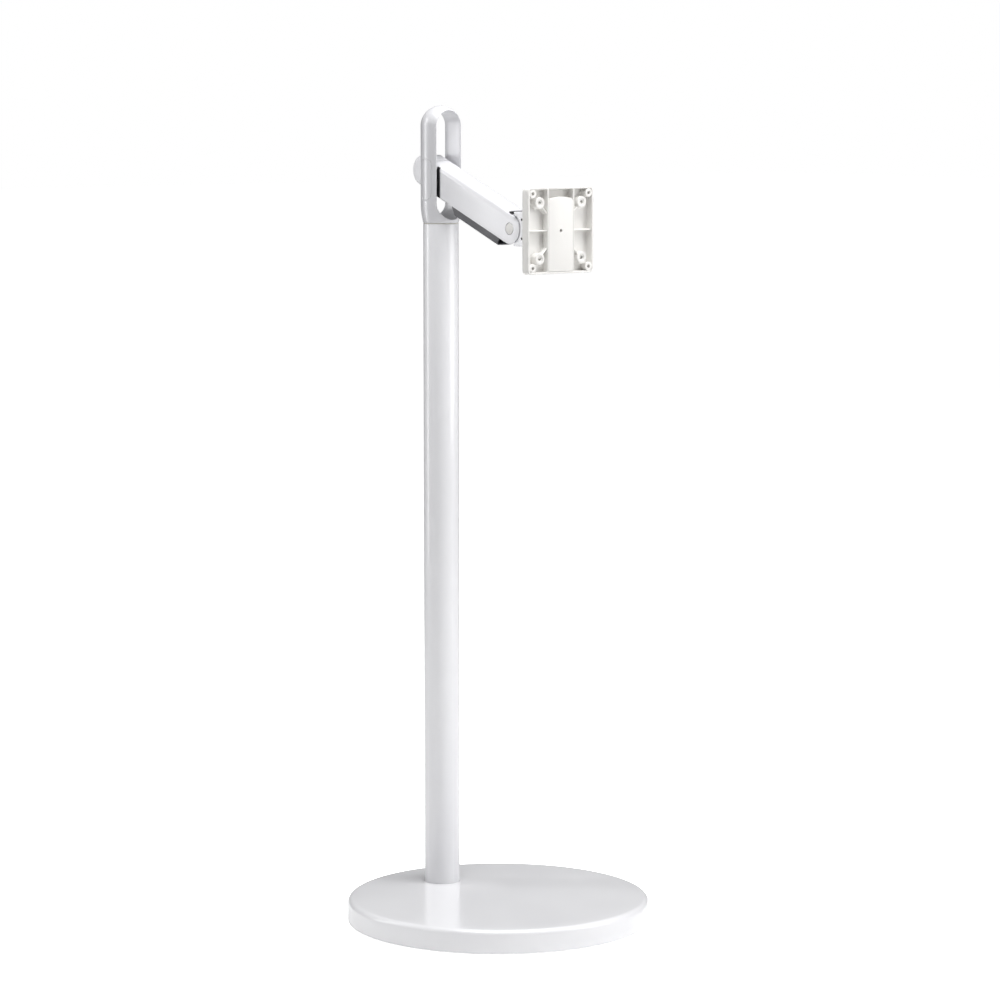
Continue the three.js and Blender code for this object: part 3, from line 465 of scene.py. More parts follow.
def makeBaseCover():
    # circles that grow from the hole round the column to the rim, then the rim's round, skirt and inside:
    # each row is a circle of radius r about a centre that slides from the column to the base centre
    top, radius = span("base_cover", 2)[1], span("base_cover", 0)[1]
    k = quarter()
    back, edge, shell = columnAxis[1] / mm, base["edge"], base["shell"]
    arch = edge - shell
    flat = np.linspace(0, 1, base["flatRows"] + 1)
    inside = top - shell
    holeTop = base["hole"] + base["holeEdge"]
    foot, skirt = base["lift"], base["skirtEdge"]
    shoulder = quarter(base["edgeSteps"])[1:]
    rows = np.concatenate([
        # radius, height, share of the way from the column's centre to the base's
        np.stack([base["hole"] + base["holeEdge"] * (1 - np.cos(k)),
                  top - base["holeEdge"] * (1 - np.sin(k)), 0 * k], 1),
        np.stack([holeTop + (radius - edge - holeTop) * flat, top + 0 * flat, flat], 1)[1:],
        np.stack([radius - edge + edge * np.sin(shoulder), top - edge * (1 - np.cos(shoulder)),
                  1 + 0 * shoulder], 1),
        np.stack([radius - skirt * (1 - np.cos(k)), foot + skirt * (1 - np.sin(k)), 1 + 0 * k], 1),
        np.array([[radius - shell, foot, 1], [radius - shell, top - edge, 1]]),
        np.stack([radius - edge + arch * np.cos(k), top - edge + arch * np.sin(k), 1 + 0 * k], 1),
        np.array([[base["hole"], inside, 0]]),
    ])
    angle = np.linspace(0, tau, base["steps"], endpoint=False)
    r, z, share = rows[:, 0, None], rows[:, 1, None], rows[:, 2, None]
    points = place(r * np.cos(angle), r * np.sin(angle) - back * (1 - share), z)
    cover = makePiece("base_cover_shell", [skin(points, closedRows=True)])
    finish(cover, "base", "painted_steel", "base_cover")


column = {"wall": 2, "edge": 0.4, "steps": 128, "grubBore": 3, "flangeGap": 0.3,
          "bushBore": 19.8, "bushLong": 22, "bushInset": 2.3, "bushEdges": (0.3, 0.3, 0, 0.2, 0.2, 0.2),
          "grub": (2.7, -24.7, -19.8, 1.3, 2.0)}      # radius, face, end, socket's radius and depth


def makeColumn():
    # a pipe with one cross hole, the flanged bush in its top and the grub screw in the hole
    low, high = span("column_tube", 2)
    radius = span("column_tube", 0)[1]
    steps, gap, bore = column["steps"], column["flangeGap"], column["bushBore"]
    tube = makePiece("column_pipe", [
        ring(radius, radius - column["wall"], low, high, column["edge"], "up", columnAxis, steps=steps)])
    middle = (0, sum(span("swivel_grub_screw", 2)) / 2)
    drill(tube, [disc(column["grubBore"], -radius - 4, -radius + 6, 0.1, "ahead", columnAxis,
                      middle=middle, steps=32)])
    finish(tube, "base", "painted_steel", "column_tube")

    inner, foot = radius - column["bushInset"], high - column["bushLong"]
    flangeLow, flangeHigh = high + gap, span("swivel_bush_upper", 2)[1]
    bush = softened([(bore, foot), (inner, foot), (inner, flangeLow), (radius - gap, flangeLow),
                     (radius - gap, flangeHigh), (bore, flangeHigh)], column["bushEdges"])
    collar = makePiece("swivel_bush", [turned(bush, "up", columnAxis, closed=True, steps=steps)])
    finish(collar, "base", "natural_nylon", "swivel_bush_upper")
    screw = makePiece("grub_screw", [socketScrew(*column["grub"], "ahead", columnAxis, middle)])
    finish(screw, "base", "zinc_steel", "swivel_grub_screw")


def makeFootPads():
    # a rounded disc in the middle of each pad's box
    for number in range(1, 7):
        name = f"foot_pad_{number}"
        low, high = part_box(name)
        middle = ((low[0] + high[0]) / 2 / mm, -(low[1] + high[1]) / 2 / mm)
        radius = (high[0] - low[0]) / 2 / mm
        pad = disc(radius, low[2] / mm, high[2] / mm, base["padEdge"], "up", (0, 0, 0), middle=middle)
        finish(makePiece(f"rubber_{name}", [pad]), "base", "foot_rubber", name)


def socketScrew(radius, face, end, socket, depth, axis, origin, middle=(0, 0), tilt=0.0, steps=48):
    # turned screw end: chamfered rim round a blind socket in its face, its far end plain
    way = 1 if face > end else -1
    profile = [(0, -depth), (socket * 0.5, -depth), (socket, 0.25 * socket - depth), (socket, -0.15),
               (socket + 0.15, 0), (radius - 0.35, 0), (radius - 0.1, -0.1), (radius, -0.35)]
    profile = [(r, face + way * along) for r, along in profile] + [(radius, end), (0, end)]
    return turned(profile, axis, origin, tilt, middle, steps=steps)


makeBaseCover()
makeColumn()
makeFootPads()
print("base and column made")

# yoke
yoke = {"neck": 25.0, "taper": 27.0, "slotHalf": 21.5, "slotFloor": 5.0, "edge": 0.7, "seamEdge": 0.4,
        "lidHalf": 11.0, "lidTall": 58.0, "lidDeep": 2.9, "lidGap": 0.3, "lidEdge": 0.45, "spigot": 19.5,
        "spigotWall": 3.5, "spigotLong": 110.0, "groove": (4.0, 6.3, 1.4), "spigotEdge": 0.5,
        "pocketMargin": 2.4, "pocketRows": 24, "upperRows": 7, "edgeSteps": 5, "lidRows": 24,
        "washerBore": 6.3, "washerEdge": 0.3,
        "footSteps": 16, "footTurn": -40, "cornerSteps": 8, "domeSteps": 24}
seam = anchors["head_swivel"][2] / mm
crown = span("yoke", 2)[1]
yokeRadius = span("yoke", 0)[1]
domeZ = crown - yokeRadius
slotFootZ = seam + yoke["slotFloor"] + yoke["slotHalf"]
lidLow, lidHigh = span("pivot_lid_left", 2)
lidZ = (lidLow + lidHigh) / 2


def yokeRadiusAt(z):
    # the neck swells to the yoke's full radius along a parabola
    rise = np.clip((z - seam) / yoke["taper"], 0, 1)
    return yoke["neck"] + (yokeRadius - yoke["neck"]) * (1 - (1 - rise) ** 2)


def yokeSheets():
    # Outline of the slot seen from the front, from its foot up the right side to the top. At each of its
    # points a fillet leads from the slot's wall onto the round outside, and the outside then runs
    # evenly, in angle and height, to the silhouette or, below, to the seam. The top is the same section
    # swung about the level axis through the dome's centre. The left side and the back are mirrored.
    half, edge = yoke["slotHalf"], yoke["edge"]
    pocketHalf, rowCount = yoke["lidTall"] / 2 + yoke["pocketMargin"], yoke["pocketRows"]
    pocketEnds = [lidZ - pocketHalf, lidZ + pocketHalf]
    straight = np.concatenate([[slotFootZ], np.linspace(*pocketEnds, rowCount + 1),
                               np.linspace(pocketEnds[1], domeZ, yoke["upperRows"] + 1)[1:]])
    low = np.radians(np.linspace(-90, yoke["footTurn"], yoke["footSteps"] + 1))
    side = np.radians(np.linspace(yoke["footTurn"], 0, yoke["cornerSteps"] + 1))[1:]
    swing = quarter(yoke["domeSteps"])[1:]
    foot = np.concatenate([low, side])
    countFoot, countUp, countTop = len(foot), len(straight) - 1, len(swing)
    normal = np.concatenate([np.stack([np.cos(foot), np.sin(foot)], 1),
                             np.tile([1.0, 0.0], (countUp + countTop, 1))])
    height = np.concatenate([slotFootZ + half * np.sin(foot), straight[1:], np.full(countTop, domeZ)])
    alpha = np.concatenate([np.zeros(countFoot + countUp), swing])
    seamEdge = seam + yoke["seamEdge"]
    endPhi = np.concatenate([quarter(len(low) - 1), np.full(len(height) - len(low), math.pi / 2)])
    endZ = np.concatenate([np.full(len(low), seamEdge), np.linspace(seamEdge, slotFootZ, len(side) + 1)[1:],
                           straight[1:], np.full(countTop, domeZ)])

    wallX, wallZ = half * normal[:, 0], height
    qx, qz = wallX + edge * normal[:, 0], wallZ + edge * normal[:, 1]
    reach = yokeRadiusAt(qz) - edge
    qy = -np.sqrt(reach ** 2 - qx ** 2)
    inward = np.stack([-normal[:, 0], 0 * qx, -normal[:, 1]], 1)
    outward = np.stack([qx, qy, 0 * qx], 1) / reach[:, None]
    bend = np.arccos(np.sum(inward * outward, 1))[:, None, None]
    k = np.linspace(0, 1, yoke["edgeSteps"] + 1)[None, :, None]
    turnIn = (np.sin((1 - k) * bend) * inward[:, None] + np.sin(k * bend) * outward[:, None]) / np.sin(bend)
    fillet = np.stack([qx, qy, qz], 1)[:, None] + edge * turnIn

    share = np.concatenate([[0.1, 0.2], np.linspace(0.2, 1, 11)[1:]])
    startPhi = np.arctan2(qx, -qy)
    phi = startPhi[:, None] + (endPhi - startPhi)[:, None] * share
    z = qz[:, None] + (endZ - qz)[:, None] * share
    radius = yokeRadiusAt(z)
    outside = np.stack([radius * np.sin(phi), -radius * np.cos(phi), z], -1)
    front = np.concatenate([fillet, outside], 1)
    # swing the top about the level axis
    x, rise = front[..., 0].copy(), front[..., 2] - domeZ
    c, s = np.cos(alpha)[:, None], np.sin(alpha)[:, None]
    isTop = (alpha > 0)[:, None]
    front[..., 0] = np.where(isTop, x * c - rise * s, x)
    front[..., 2] = np.where(isTop, domeZ + x * s + rise * c, front[..., 2])
    front = np.concatenate([front, front[::-1][1:-1] * (-1, 1, 1)])
    # the pocket's rectangle on the right side: its first and last row, and the column where it starts
    return front, (countFoot, countFoot + rowCount), yoke["edgeSteps"] + 2


def pillRows(ends, dist, x, lidCentre):
    # points of pill-shaped rows: 'dist' from the middle line, in the plane across x
    centre, direction = ends
    flat = centre + dist[..., None] * direction
    return np.stack([np.broadcast_to(x, flat.shape[:-1]), flat[..., 0], flat[..., 1] + lidCentre], -1)


def limbX(y):
    # the limb's outside is round: its half width squared is the radius squared less y squared
    return np.sqrt(yokeRadius ** 2 - y ** 2)


def makeYoke():
    # front and back sheets, the slot's wall between them, a pocket in each side, and the spigot below
    front, (first, last), column = yokeSheets()
    back = front * (1, -1, 1)
    rows, columns = front.shape[:2]
    mirror = lambda i: (rows - i) % rows
    faces = gridFaces(rows, columns, True, False)
    i, j = faces[:, 0] // columns, faces[:, 0] % columns
    onPocket = (j >= column) & (((i >= first) & (i < last)) | ((i >= mirror(last)) & (i < mirror(first))))
    sheet = [tuple(f) for f in faces[~onPocket].tolist()]
    skins = [(front.reshape(-1, 3), sheet), (back.reshape(-1, 3), sheet)]
    share = np.linspace(0, 1, 5)[:, None, None]
    skins.append(skin(front[:, 0] * (1 - share) + back[:, 0] * share, lids=(False, False)))

    # the pockets' sides and floors, from the rectangle left open in the grid
    up = np.arange(first, last + 1)
    across = np.arange(column, columns)
    loop = np.concatenate([front[first, across], back[first, across[::-1]][1:], back[up, column][1:],
                           back[last, across][1:], front[last, across[::-1]][1:],
                           front[up[::-1], column][1:-1]])
    flat = loop[:, 1:] - (0, lidZ)
    straight = yoke["lidTall"] / 2 - yoke["lidHalf"]
    centre = np.stack([0 * flat[:, 0], np.clip(flat[:, 1], -straight, straight)], 1)
    away = np.linalg.norm(flat - centre, axis=1)
    ends = (centre, (flat - centre) / away[:, None])
    edge, half = yoke["lidEdge"], yoke["lidHalf"]
    k = quarter()
    steps = np.linspace(0, 1, 4)[:, None]
    outer = away + (half + edge - away) * steps
    rim = np.broadcast_to((half + edge * (1 - np.sin(k)))[1:, None], (4, len(away)))
    dist = np.concatenate([outer, rim, np.full((1, len(away)), half), np.zeros((1, len(away)))])
    depth = np.concatenate([np.zeros(4), (edge * (1 - np.cos(k)))[1:]])[:, None]
    y = centre[:, 0] + dist * ends[1][:, 0]
    floor = yokeRadius - yoke["lidDeep"]
    x = np.concatenate([limbX(y[:8]) - depth, np.full((2, len(away)), floor)])
    pocket = pillRows(ends, dist, x, lidZ)
    pocket[0] = loop
    for way in (1, -1):
        skins.append(skin(pocket * (way, 1, 1), lids=(False, False)))

    # neck below the seam: step, spigot with its clip groove, hollow underneath
    skins = [(part * mm + columnAxis, partFaces) for part, partFaces in skins]
    r, thick, end, bevel = yoke["spigot"], yoke["spigotWall"], seam - yoke["spigotLong"], yoke["spigotEdge"]
    low, high, deep = yoke["groove"]
    step = yoke["seamEdge"]
    startR = yokeRadiusAt(seam + step)
    profile = [(startR - (1 - np.cos(a)) * step, seam + step * (1 - np.sin(a))) for a in k]
    profile += [(r, seam), (r, end + high), (r - deep, end + high), (r - deep, end + low), (r, end + low),
                (r, end + bevel), (r - bevel, end), (r - thick, end), (r - thick, seam - thick),
                (0, seam - thick)]
    skins.append(turned(profile, "up", columnAxis, steps=4 * yoke["footSteps"], lids=(False, False)))
    piece = makePiece("yoke_casting", skins, sharpDegrees=40, mergeDistance=2e-6)
    finish(piece, "head", "painted_casting", "yoke")


def makeLid(name, way):
    # a pill cut from the limb's own round surface, its rim rounded, with a flat back
    straight = yoke["lidTall"] / 2 - yoke["lidHalf"]
    count = yoke["lidRows"] + 1
    angle = np.concatenate([np.linspace(0, math.pi, count), np.linspace(math.pi, tau, count)])
    centre = np.stack([0 * angle, np.repeat([straight, -straight], count)], 1)
    direction = np.stack([np.cos(angle), np.sin(angle)], 1)
    half, edge = yoke["lidHalf"] - yoke["lidGap"], yoke["lidEdge"]
    k = quarter()
    inner = np.linspace(half - edge, 0, 10)[1:]
    dist = np.concatenate([[0, half], half - edge * (1 - np.cos(k)), inner])[:, None] * np.ones(len(angle))
    y = dist * direction[:, 0]
    backX = yokeRadius - yoke["lidDeep"] + yoke["lidGap"]
    depth = np.concatenate([edge * (1 - np.sin(k)), 0 * inner])[:, None]
    x = np.concatenate([np.full((2, len(angle)), backX), limbX(y[2:]) - depth])
    points = pillRows((centre, direction), dist, x, lidZ) * (way, 1, 1) * mm + columnAxis
    lid = makePiece(f"pivot_cover_{name}", [skin(points, lids=(False, False))], sharpDegrees=40)
    finish(lid, "head", "painted_casting", f"pivot_lid_{name}")


makeYoke()
for way, name in ((-1, "left"), (1, "right")):
    makeLid(name, way)
    washer = f"friction_washer_{name}"
    thin = sorted(abs(v) for v in span(washer, 0))
    radius = (span(washer, 2)[1] - span(washer, 2)[0]) / 2
    piece = makePiece(f"{washer}_disc", [ring(radius, yoke["washerBore"], way * thin[0], way * thin[1],
                                              yoke["washerEdge"], "x", anchors["arm_lift"])])
    finish(piece, "head", "black_nylon", washer)
print("yoke made")

# arm
arm = {"long": 183.0, "half": 18.5, "tall": 21.0, "corner": 9.0, "wall": 3.0, "edge": 0.9,
       "sideRear": 19.5, "skinRear": -5.0, "skinFront": 169.0, "skinFoot": 18.0, "lipEdge": 0.7,
       "recess": 8.4, "recessDeep": 1.5, "recessEdge": 0.25, "spreadEnd": 3.06, "step": 0.3,
       "tail": 20.9, "tailEdge": 2.2, "blockFront": 8.0, "blockTop": 17.7,
       "tongue": (13.0, 13.5, 52.0)}
pivot = anchors["arm_lift"]


def armTop(x):
    # height of the section's rounded top at a distance x from the middle
    out = np.clip(np.abs(x) - (arm["half"] - arm["corner"]), 0, arm["corner"])
    return arm["tall"] - arm["corner"] + np.sqrt(arm["corner"] ** 2 - out ** 2)


def sideEdge(height, inset=0.0):
    # the sides' rear edge is upright when the arm hangs at its rest angle
    return (arm["sideRear"] + inset - height * math.sin(armTilt)) / math.cos(armTilt)


def armSkinOutline(x, inset):
    # side view of the skin at x: sides with a round front end, cut off at the section's height there,
    # and, where the section is taller than the top skin's foot, a tab that runs on to the rear
    tall, long = arm["tall"] - inset, arm["long"]
    top = float(armTop(x))
    end = math.asin(min(top / tall, 1.0))
    nose = np.linspace(-math.pi / 2, end, 31)
    firstTop, firstTall = arm["tall"] - arm["corner"], arm["tall"] - arm["edge"]
    ahead0 = firstTop / np.tan(np.linspace(math.asin(firstTop / firstTall), math.pi / 2, 12)[1:])
    ahead = long + ahead0 * (tall * math.cos(end)) / math.sqrt(firstTall ** 2 - firstTop ** 2)
    spread = 1 / np.tan(np.linspace(math.pi / 2, arm["spreadEnd"], 16)[1:])
    rearTop = sideEdge(min(top, arm["skinFoot"]), inset)
    topRun = np.concatenate([ahead, long + spread * (long - rearTop) / -spread[-1]])
    bottomRun = long + spread[::-1] * (long - sideEdge(-tall, inset)) / -spread[-1]
    hasTab = top > arm["skinFoot"] + 1e-6
    tabRear = arm["skinRear"] if hasTab else rearTop
    slant = np.linspace(min(top, arm["skinFoot"]), -tall, 8)
    points = [
        np.stack([bottomRun, np.full(15, -tall)], 1),
        np.stack([long + tall * np.cos(nose), tall * np.sin(nose)], 1),
        np.stack([topRun, np.full(len(topRun), top)], 1),
        np.array([[tabRear, top]] * 4 + [[tabRear, min(top, arm["skinFoot"])]]),
        np.stack([sideEdge(slant, inset), slant], 1)[:-1]]
    return np.concatenate(points)


def armSlabOutline(x):
    # the same number of points round the top skin between the sides, its two upper edges rounded
    top, foot = float(armTop(x)), arm["skinFoot"]
    soft = min(arm["lipEdge"], 0.9 * (top - foot))
    front, rear, notch = arm["skinFront"], arm["skinRear"], sideEdge(arm["skinFoot"])
    k = quarter(30)
    m = np.linspace(math.pi / 2, math.pi, 4)
    cornerFront = np.stack([front - soft + soft * np.cos(k), top - soft + soft * np.sin(k)], 1)
    cornerFront[0] = front, foot
    points = [
        np.stack([np.linspace(notch, front, 15), np.full(15, foot)], 1),
        cornerFront,
        np.stack([np.linspace(front - soft, rear + soft, 27)[1:], np.full(26, top)], 1),
        np.stack([rear + soft + soft * np.cos(m), top - soft + soft * np.sin(m)], 1),
        np.array([[rear, foot]]),
        np.tile([notch, foot], (7, 1))]
    return np.concatenate(points)


def mirrorStack(outlines, places):
    # outlines of (ahead, up) points set at places left of the arm's middle, then the same on its right
    points = np.stack(outlines + outlines[::-1])
    across = np.array([-x for x in places] + places[::-1])
    return place(across[:, None], points[..., 0], points[..., 1], pivot, armTilt)


def makeArmSkin():
    # outlines set side by side: cap recess, rounded side, cheek, then the top skin, and all of it mirrored
    half, edge, corner = arm["half"], arm["edge"], arm["corner"]
    inner = half - arm["wall"]
    k = quarter(5)
    xs = [half - edge * (1 - math.cos(a)) for a in k]
    insets = [edge * (1 - math.sin(a)) for a in k]
    flat = half - corner
    tabAngle = math.asin((arm["skinFoot"] - arm["tall"] + corner) / corner)
    tab = flat + corner * math.cos(tabAngle)
    cheekAngles = np.linspace(math.acos((xs[-1] - flat) / corner), tabAngle, 4)[1:]
    xs += [flat + corner * math.cos(a) for a in cheekAngles] + [tab - 1e-4, inner]
    insets += [0] * (len(xs) - len(insets))
    side = [armSkinOutline(x, e) for x, e in zip(xs, insets)]
    slabAngles = np.linspace(math.acos((inner - flat) / corner), math.pi / 2, 7)
    slabXs = [flat + corner * math.cos(a) for a in slabAngles] + [flat / 2]
    middle = [armSlabOutline(x) for x in slabXs]
    # blind recess for the pin's cap, seen from the pin towards each point of the side face
    pin = np.array([arm["long"], 0])
    ray = side[0] - pin
    ray /= np.linalg.norm(ray, axis=1, keepdims=True)
    bore, deep, bevel = arm["recess"], arm["recessDeep"], arm["recessEdge"]
    recess = [(0, deep), (bore, deep), (bore, bevel), (bore + bevel, 0)]
    hole = [pin + ray * r for r, _ in recess]
    holeXs = [half - deep for _, deep in recess]
    outlines = hole + side + middle
    places = holeXs + xs + slabXs
    points = mirrorStack(outlines, places)
    piece = makePiece("arm_skin_casting", [skin(points, lids=(False, False))], 30, 1e-7)
    finish(piece, "arm", "painted_casting", "arm_skin")


def rearBlockOutline(x, inset):
    # round tail, top step under the skin, front face and, near the middle, the tongue
    tall, top = arm["tall"] - inset, float(armTop(x))
    top = min(top, tall)
    tail, front, step = -arm["tail"], arm["blockFront"], arm["skinRear"] - arm["step"]
    end = math.pi - math.asin(min(top / tall, 1.0))
    bend = np.linspace(end, 1.5 * math.pi, 33)
    shelf = min(top, arm["blockTop"])
    tongueHalf, tongueTall, tongueFront = arm["tongue"]
    reach = tongueFront if abs(x) <= tongueHalf + 1e-6 else front
    return np.concatenate([
        np.stack([tail + tall * np.cos(bend), tall * np.sin(bend)], 1),
        np.array([[front, -tall], [front, -tongueTall], [reach, -tongueTall], [reach, tongueTall],
                  [front, tongueTall], [front, shelf], [step, shelf], [step, top]]),
        np.stack([np.linspace(step, tail + tall * math.cos(end), 6)[1:-1], np.full(4, top)], 1)])


def makeRearBlock():
    # outlines set side by side from the rounded side to the middle, with a step where the tongue starts
    half, edge, corner = arm["half"], arm["tailEdge"], arm["corner"]
    flat = half - corner
    k = quarter(7)
    xs = [half - edge * (1 - math.cos(a)) for a in k]
    insets = [edge * (1 - math.sin(a)) for a in k]
    angles = np.linspace(math.acos((xs[-1] - flat) / corner), math.pi / 2, 9)[1:]
    xs += [flat + corner * math.cos(a) for a in angles]
    tongue = arm["tongue"][0]
    xs = sorted(xs + [tongue + 1e-4, tongue], reverse=True) + [flat / 2]
    insets += [0] * (len(xs) - len(insets))
    outlines = [rearBlockOutline(x, e) for x, e in zip(xs, insets)]
    piece = makePiece("arm_rear_casting", [skin(mirrorStack(outlines, xs))], 30, 1e-7)
    finish(piece, "arm", "painted_casting", "arm_rear_block")


collar = {"half": 18.1, "foot": -20.6, "top": 17.7, "rear": 8.3, "gap": 0.3, "edge": 0.5,
          "corner": 0.6, "lipHalf": 15.1, "lip": (12.0, 38.0, -23.0, -20.0), "lipRound": 1.2}


def makeCollar():
    # two slabs across the arm: the band between block and skin, its front slanted, and the lip below
    foot, top, rear, gap, edge = (collar[key] for key in ("foot", "top", "rear", "gap", "edge"))
    band = corners([(rear, foot), (sideEdge(foot) - gap, foot), (sideEdge(top) - gap, top), (rear, top)],
                   (collar["corner"],) * 2 + (0, 0))
    lip = rectangle(*collar["lip"], (collar["lipRound"],) * 2 + (0, 0))
    piece = makePiece("arm_collar", [
        slab(outline, -half, half, edge, edge, "x", pivot, armTilt)
        for outline, half in ((band, collar["half"]), (lip, collar["lipHalf"]))])
    finish(piece, "arm", "black_nylon", "rear_collar")


cover = {"half": 14.5, "foot": -34.0, "top": -15.0, "wall": 1.6, "corner": 4.5, "rear": 52.0, "front": 164.0,
         "rearSlant": 12.0, "frontSlant": 2.0, "slantTop": -21.0, "stations": 14, "rim": 0.45}


def sheetSkin(outer, inner):
    # a wall between two like grids: both faces and the four borders
    rows, columns = outer.shape[:2]
    count = rows * columns
    index = np.arange(count).reshape(rows, columns)
    border = np.concatenate([index[0], index[1:, -1], index[-1, -2::-1], index[-2:0:-1, 0]])
    on = np.roll(border, -1)
    faces = gridFaces(rows, columns, False, False)
    rim = np.stack([border, on, on + count, border + count], 1)
    allFaces = np.concatenate([faces, faces[:, ::-1] + count, rim])
    return np.concatenate([outer.reshape(-1, 3), inner.reshape(-1, 3)]), [tuple(f) for f in allFaces.tolist()]


def softenEdges(piece, width, segments=3, degrees=50):
    # rounds every edge that turns by more than 'degrees'
    bevel = piece.modifiers.new("soft_edges", "BEVEL")
    bevel.width, bevel.segments = width * mm, segments
    bevel.limit_method, bevel.angle_limit = "ANGLE", math.radians(degrees)
    bevel.harden_normals = True


def makeCableCover():
    # U section carried along the arm between two slanted ends
    half, foot, top, slantTop = cover["half"], cover["foot"], cover["top"], cover["slantTop"]
    section = corners([(-half, top), (-half, slantTop), (-half, foot),
                       (half, foot), (half, slantTop), (half, top)],
                      (0, 0, cover["corner"], cover["corner"], 0, 0), closed=False)
    outer, inner = insetBy(section, [0, cover["wall"]])
    keep = np.concatenate([[True], np.linalg.norm(np.diff(outer, axis=0), axis=1) > 1e-6])
    share = np.linspace(0, 1, cover["stations"])[:, None]
    sheets = []
    for curve in (outer[keep], inner[keep]):
        drop = np.clip((slantTop - curve[:, 1]) / (slantTop - foot), 0, 1)
        start, end = cover["rear"] + drop * cover["rearSlant"], cover["front"] - drop * cover["frontSlant"]
        ahead = start + share * (end - start)
        sheets.append(place(curve[:, 0], ahead, curve[:, 1], pivot, armTilt))
    piece = makePiece("cable_trough", [sheetSkin(*sheets)], sharpDegrees=40)
    softenEdges(piece, cover["rim"])
    finish(piece, "arm", "graphite_abs", "cable_cover")


# black strip whose colour paints the shadow gap at the top skin's front end
endShadeStrip = {"steps": 17,
        "half": 14.0, "rear": 169.3, "front": 170.6, "foot": 17.3, "top": 19.8, "sag": 1.0, "edge": 0.25}


def makeEndShadeStrip():
    # black strip across the front of the top skin, painted shade for the shadowed gap between skin and knuckle: a
    # rectangle, bent down at its ends along a circle's arc
    half, sag = endShadeStrip["half"], endShadeStrip["sag"]
    radius = (half ** 2 + sag ** 2) / (2 * sag)
    x = np.linspace(-half, half, endShadeStrip["steps"])[:, None]
    fall = radius - np.sqrt(radius ** 2 - x ** 2)
    section = insetBy(rectangle(endShadeStrip["rear"], endShadeStrip["front"], endShadeStrip["foot"] + sag, endShadeStrip["top"],
                                endShadeStrip["edge"], 3), 0)[0]
    points = place(x, section[:, 0], section[:, 1] - fall, pivot, armTilt)
    finish(makePiece("end_shade_strip", [skin(points)]), "arm", "black_nylon", "skin_end_seal")


small = {"cap": (7.6, 17.3, 18.7, 0.5),               # radius, inner and outer face, edge
         "thrust": (12, 5.3, 14.2, 15.2, 0.2),        # radius, bore, inner and outer face, edge
         "screw": (5, -16.5, -13.8, 2.2, 1.6), "screwAt": 42}


def makeArmSmallParts():
    # a cap and a thrust washer on each end of the front pin, and the screw that holds the skin
    pin = (arm["long"], 0)
    radius, inner, outer, edge = small["cap"]
    thrustRadius, bore, thrustInner, thrustOuter, thrustEdge = small["thrust"]
    for way, name in ((-1, "left"), (1, "right")):
        cap = disc(radius, way * inner, way * outer, edge, "x", pivot, armTilt, pin, 72)
        finish(makePiece(f"pin_button_{name}", [cap]), "arm", "white_abs", f"pin_cap_{name}")
        thrust = ring(thrustRadius, bore, way * thrustInner, way * thrustOuter, thrustEdge, "x",
                      pivot, armTilt, pin)
        finish(makePiece(f"tilt_thrust_{name}", [thrust]), "arm", "black_nylon", f"tilt_washer_{name}")
    screw = socketScrew(*small["screw"], "up", pivot, (0, small["screwAt"]), armTilt)
    finish(makePiece("skin_screw_turned", [screw]), "arm", "zinc_steel", "skin_screw")


makeArmSkin()
makeRearBlock()
makeCollar()
makeCableCover()
makeEndShadeStrip()
makeArmSmallParts()
print("arm made")

# wrist, hub and plate
wrist = {"half": 18.5, "front": 41.0, "rear": 9.0, "tall": 23.5, "gapRadius": 22.4, "edge": 1.1,
         "corner": 2.0, "rearCorner": 1, "drum": 19.2,
         "drumHalf": 13.9, "web": 16.2, "screwAt": 26.0, "screwUp": 13.0, "screwHole": 2.0,
         "screwRadius": 1.7, "screwSink": 0.5, "screwHoleDeep": 6.2, "screwLong": 5, "socket": (0.85, 1.2),
         "lug": 10.0, "lugAt": 52.0, "lugLow": 12.0, "lugHigh": 21.0, "lugEdges": (0.6, 1.0), "lugSteps": 12,
         "pinHead": (6.5, 23.8, 21.3, 2.4, 1.5), "pinShank": (4, -21, 21.6, 0.4)}
tiltPin = anchors["wrist_tilt"]
panPin = anchors["wrist_pan"] * (1, 1, 0) + tiltPin * (0, 0, 1)


def knuckleOutline(withDrum):
    # side view: a block whose rear is hollowed round the arm's end, or that same block with the drum
    front, rear, tall, hollow = wrist["front"], wrist["rear"], wrist["tall"], wrist["gapRadius"]
    box = corners([(front, -tall), (front, tall), (rear, tall), (rear, -tall)],
                  (wrist["corner"],) * 2 + (wrist["rearCorner"],) * 2)
    count = len(box[0]) // 4
    first = tuple(part[:3 * count] for part in box)
    last = tuple(part[3 * count:] for part in box)
    outerEnd = math.degrees(math.acos(rear / hollow))
    webEnd = math.degrees(math.asin(wrist["web"] / hollow))
    upper = arc((0, 0), -hollow, outerEnd + 180, webEnd + 180, 8)
    lower = arc((0, 0), -hollow, 180 - webEnd, 180 - outerEnd, 8)
    drumEnd = math.degrees(math.asin(wrist["web"] / wrist["drum"]))
    middle = (arc((0, 0), wrist["drum"], drumEnd, 360 - drumEnd, 48) if withDrum
              else arc((0, 0), -hollow, webEnd + 180, 180 - webEnd, 48))
    return joined(first, upper, middle, lower, last)


def weld(piece, other):
    # adds another piece's surfaces to this one
    with bpy.context.temp_override(active_object=piece, selected_editable_objects=[piece, other]):
        bpy.ops.object.join()


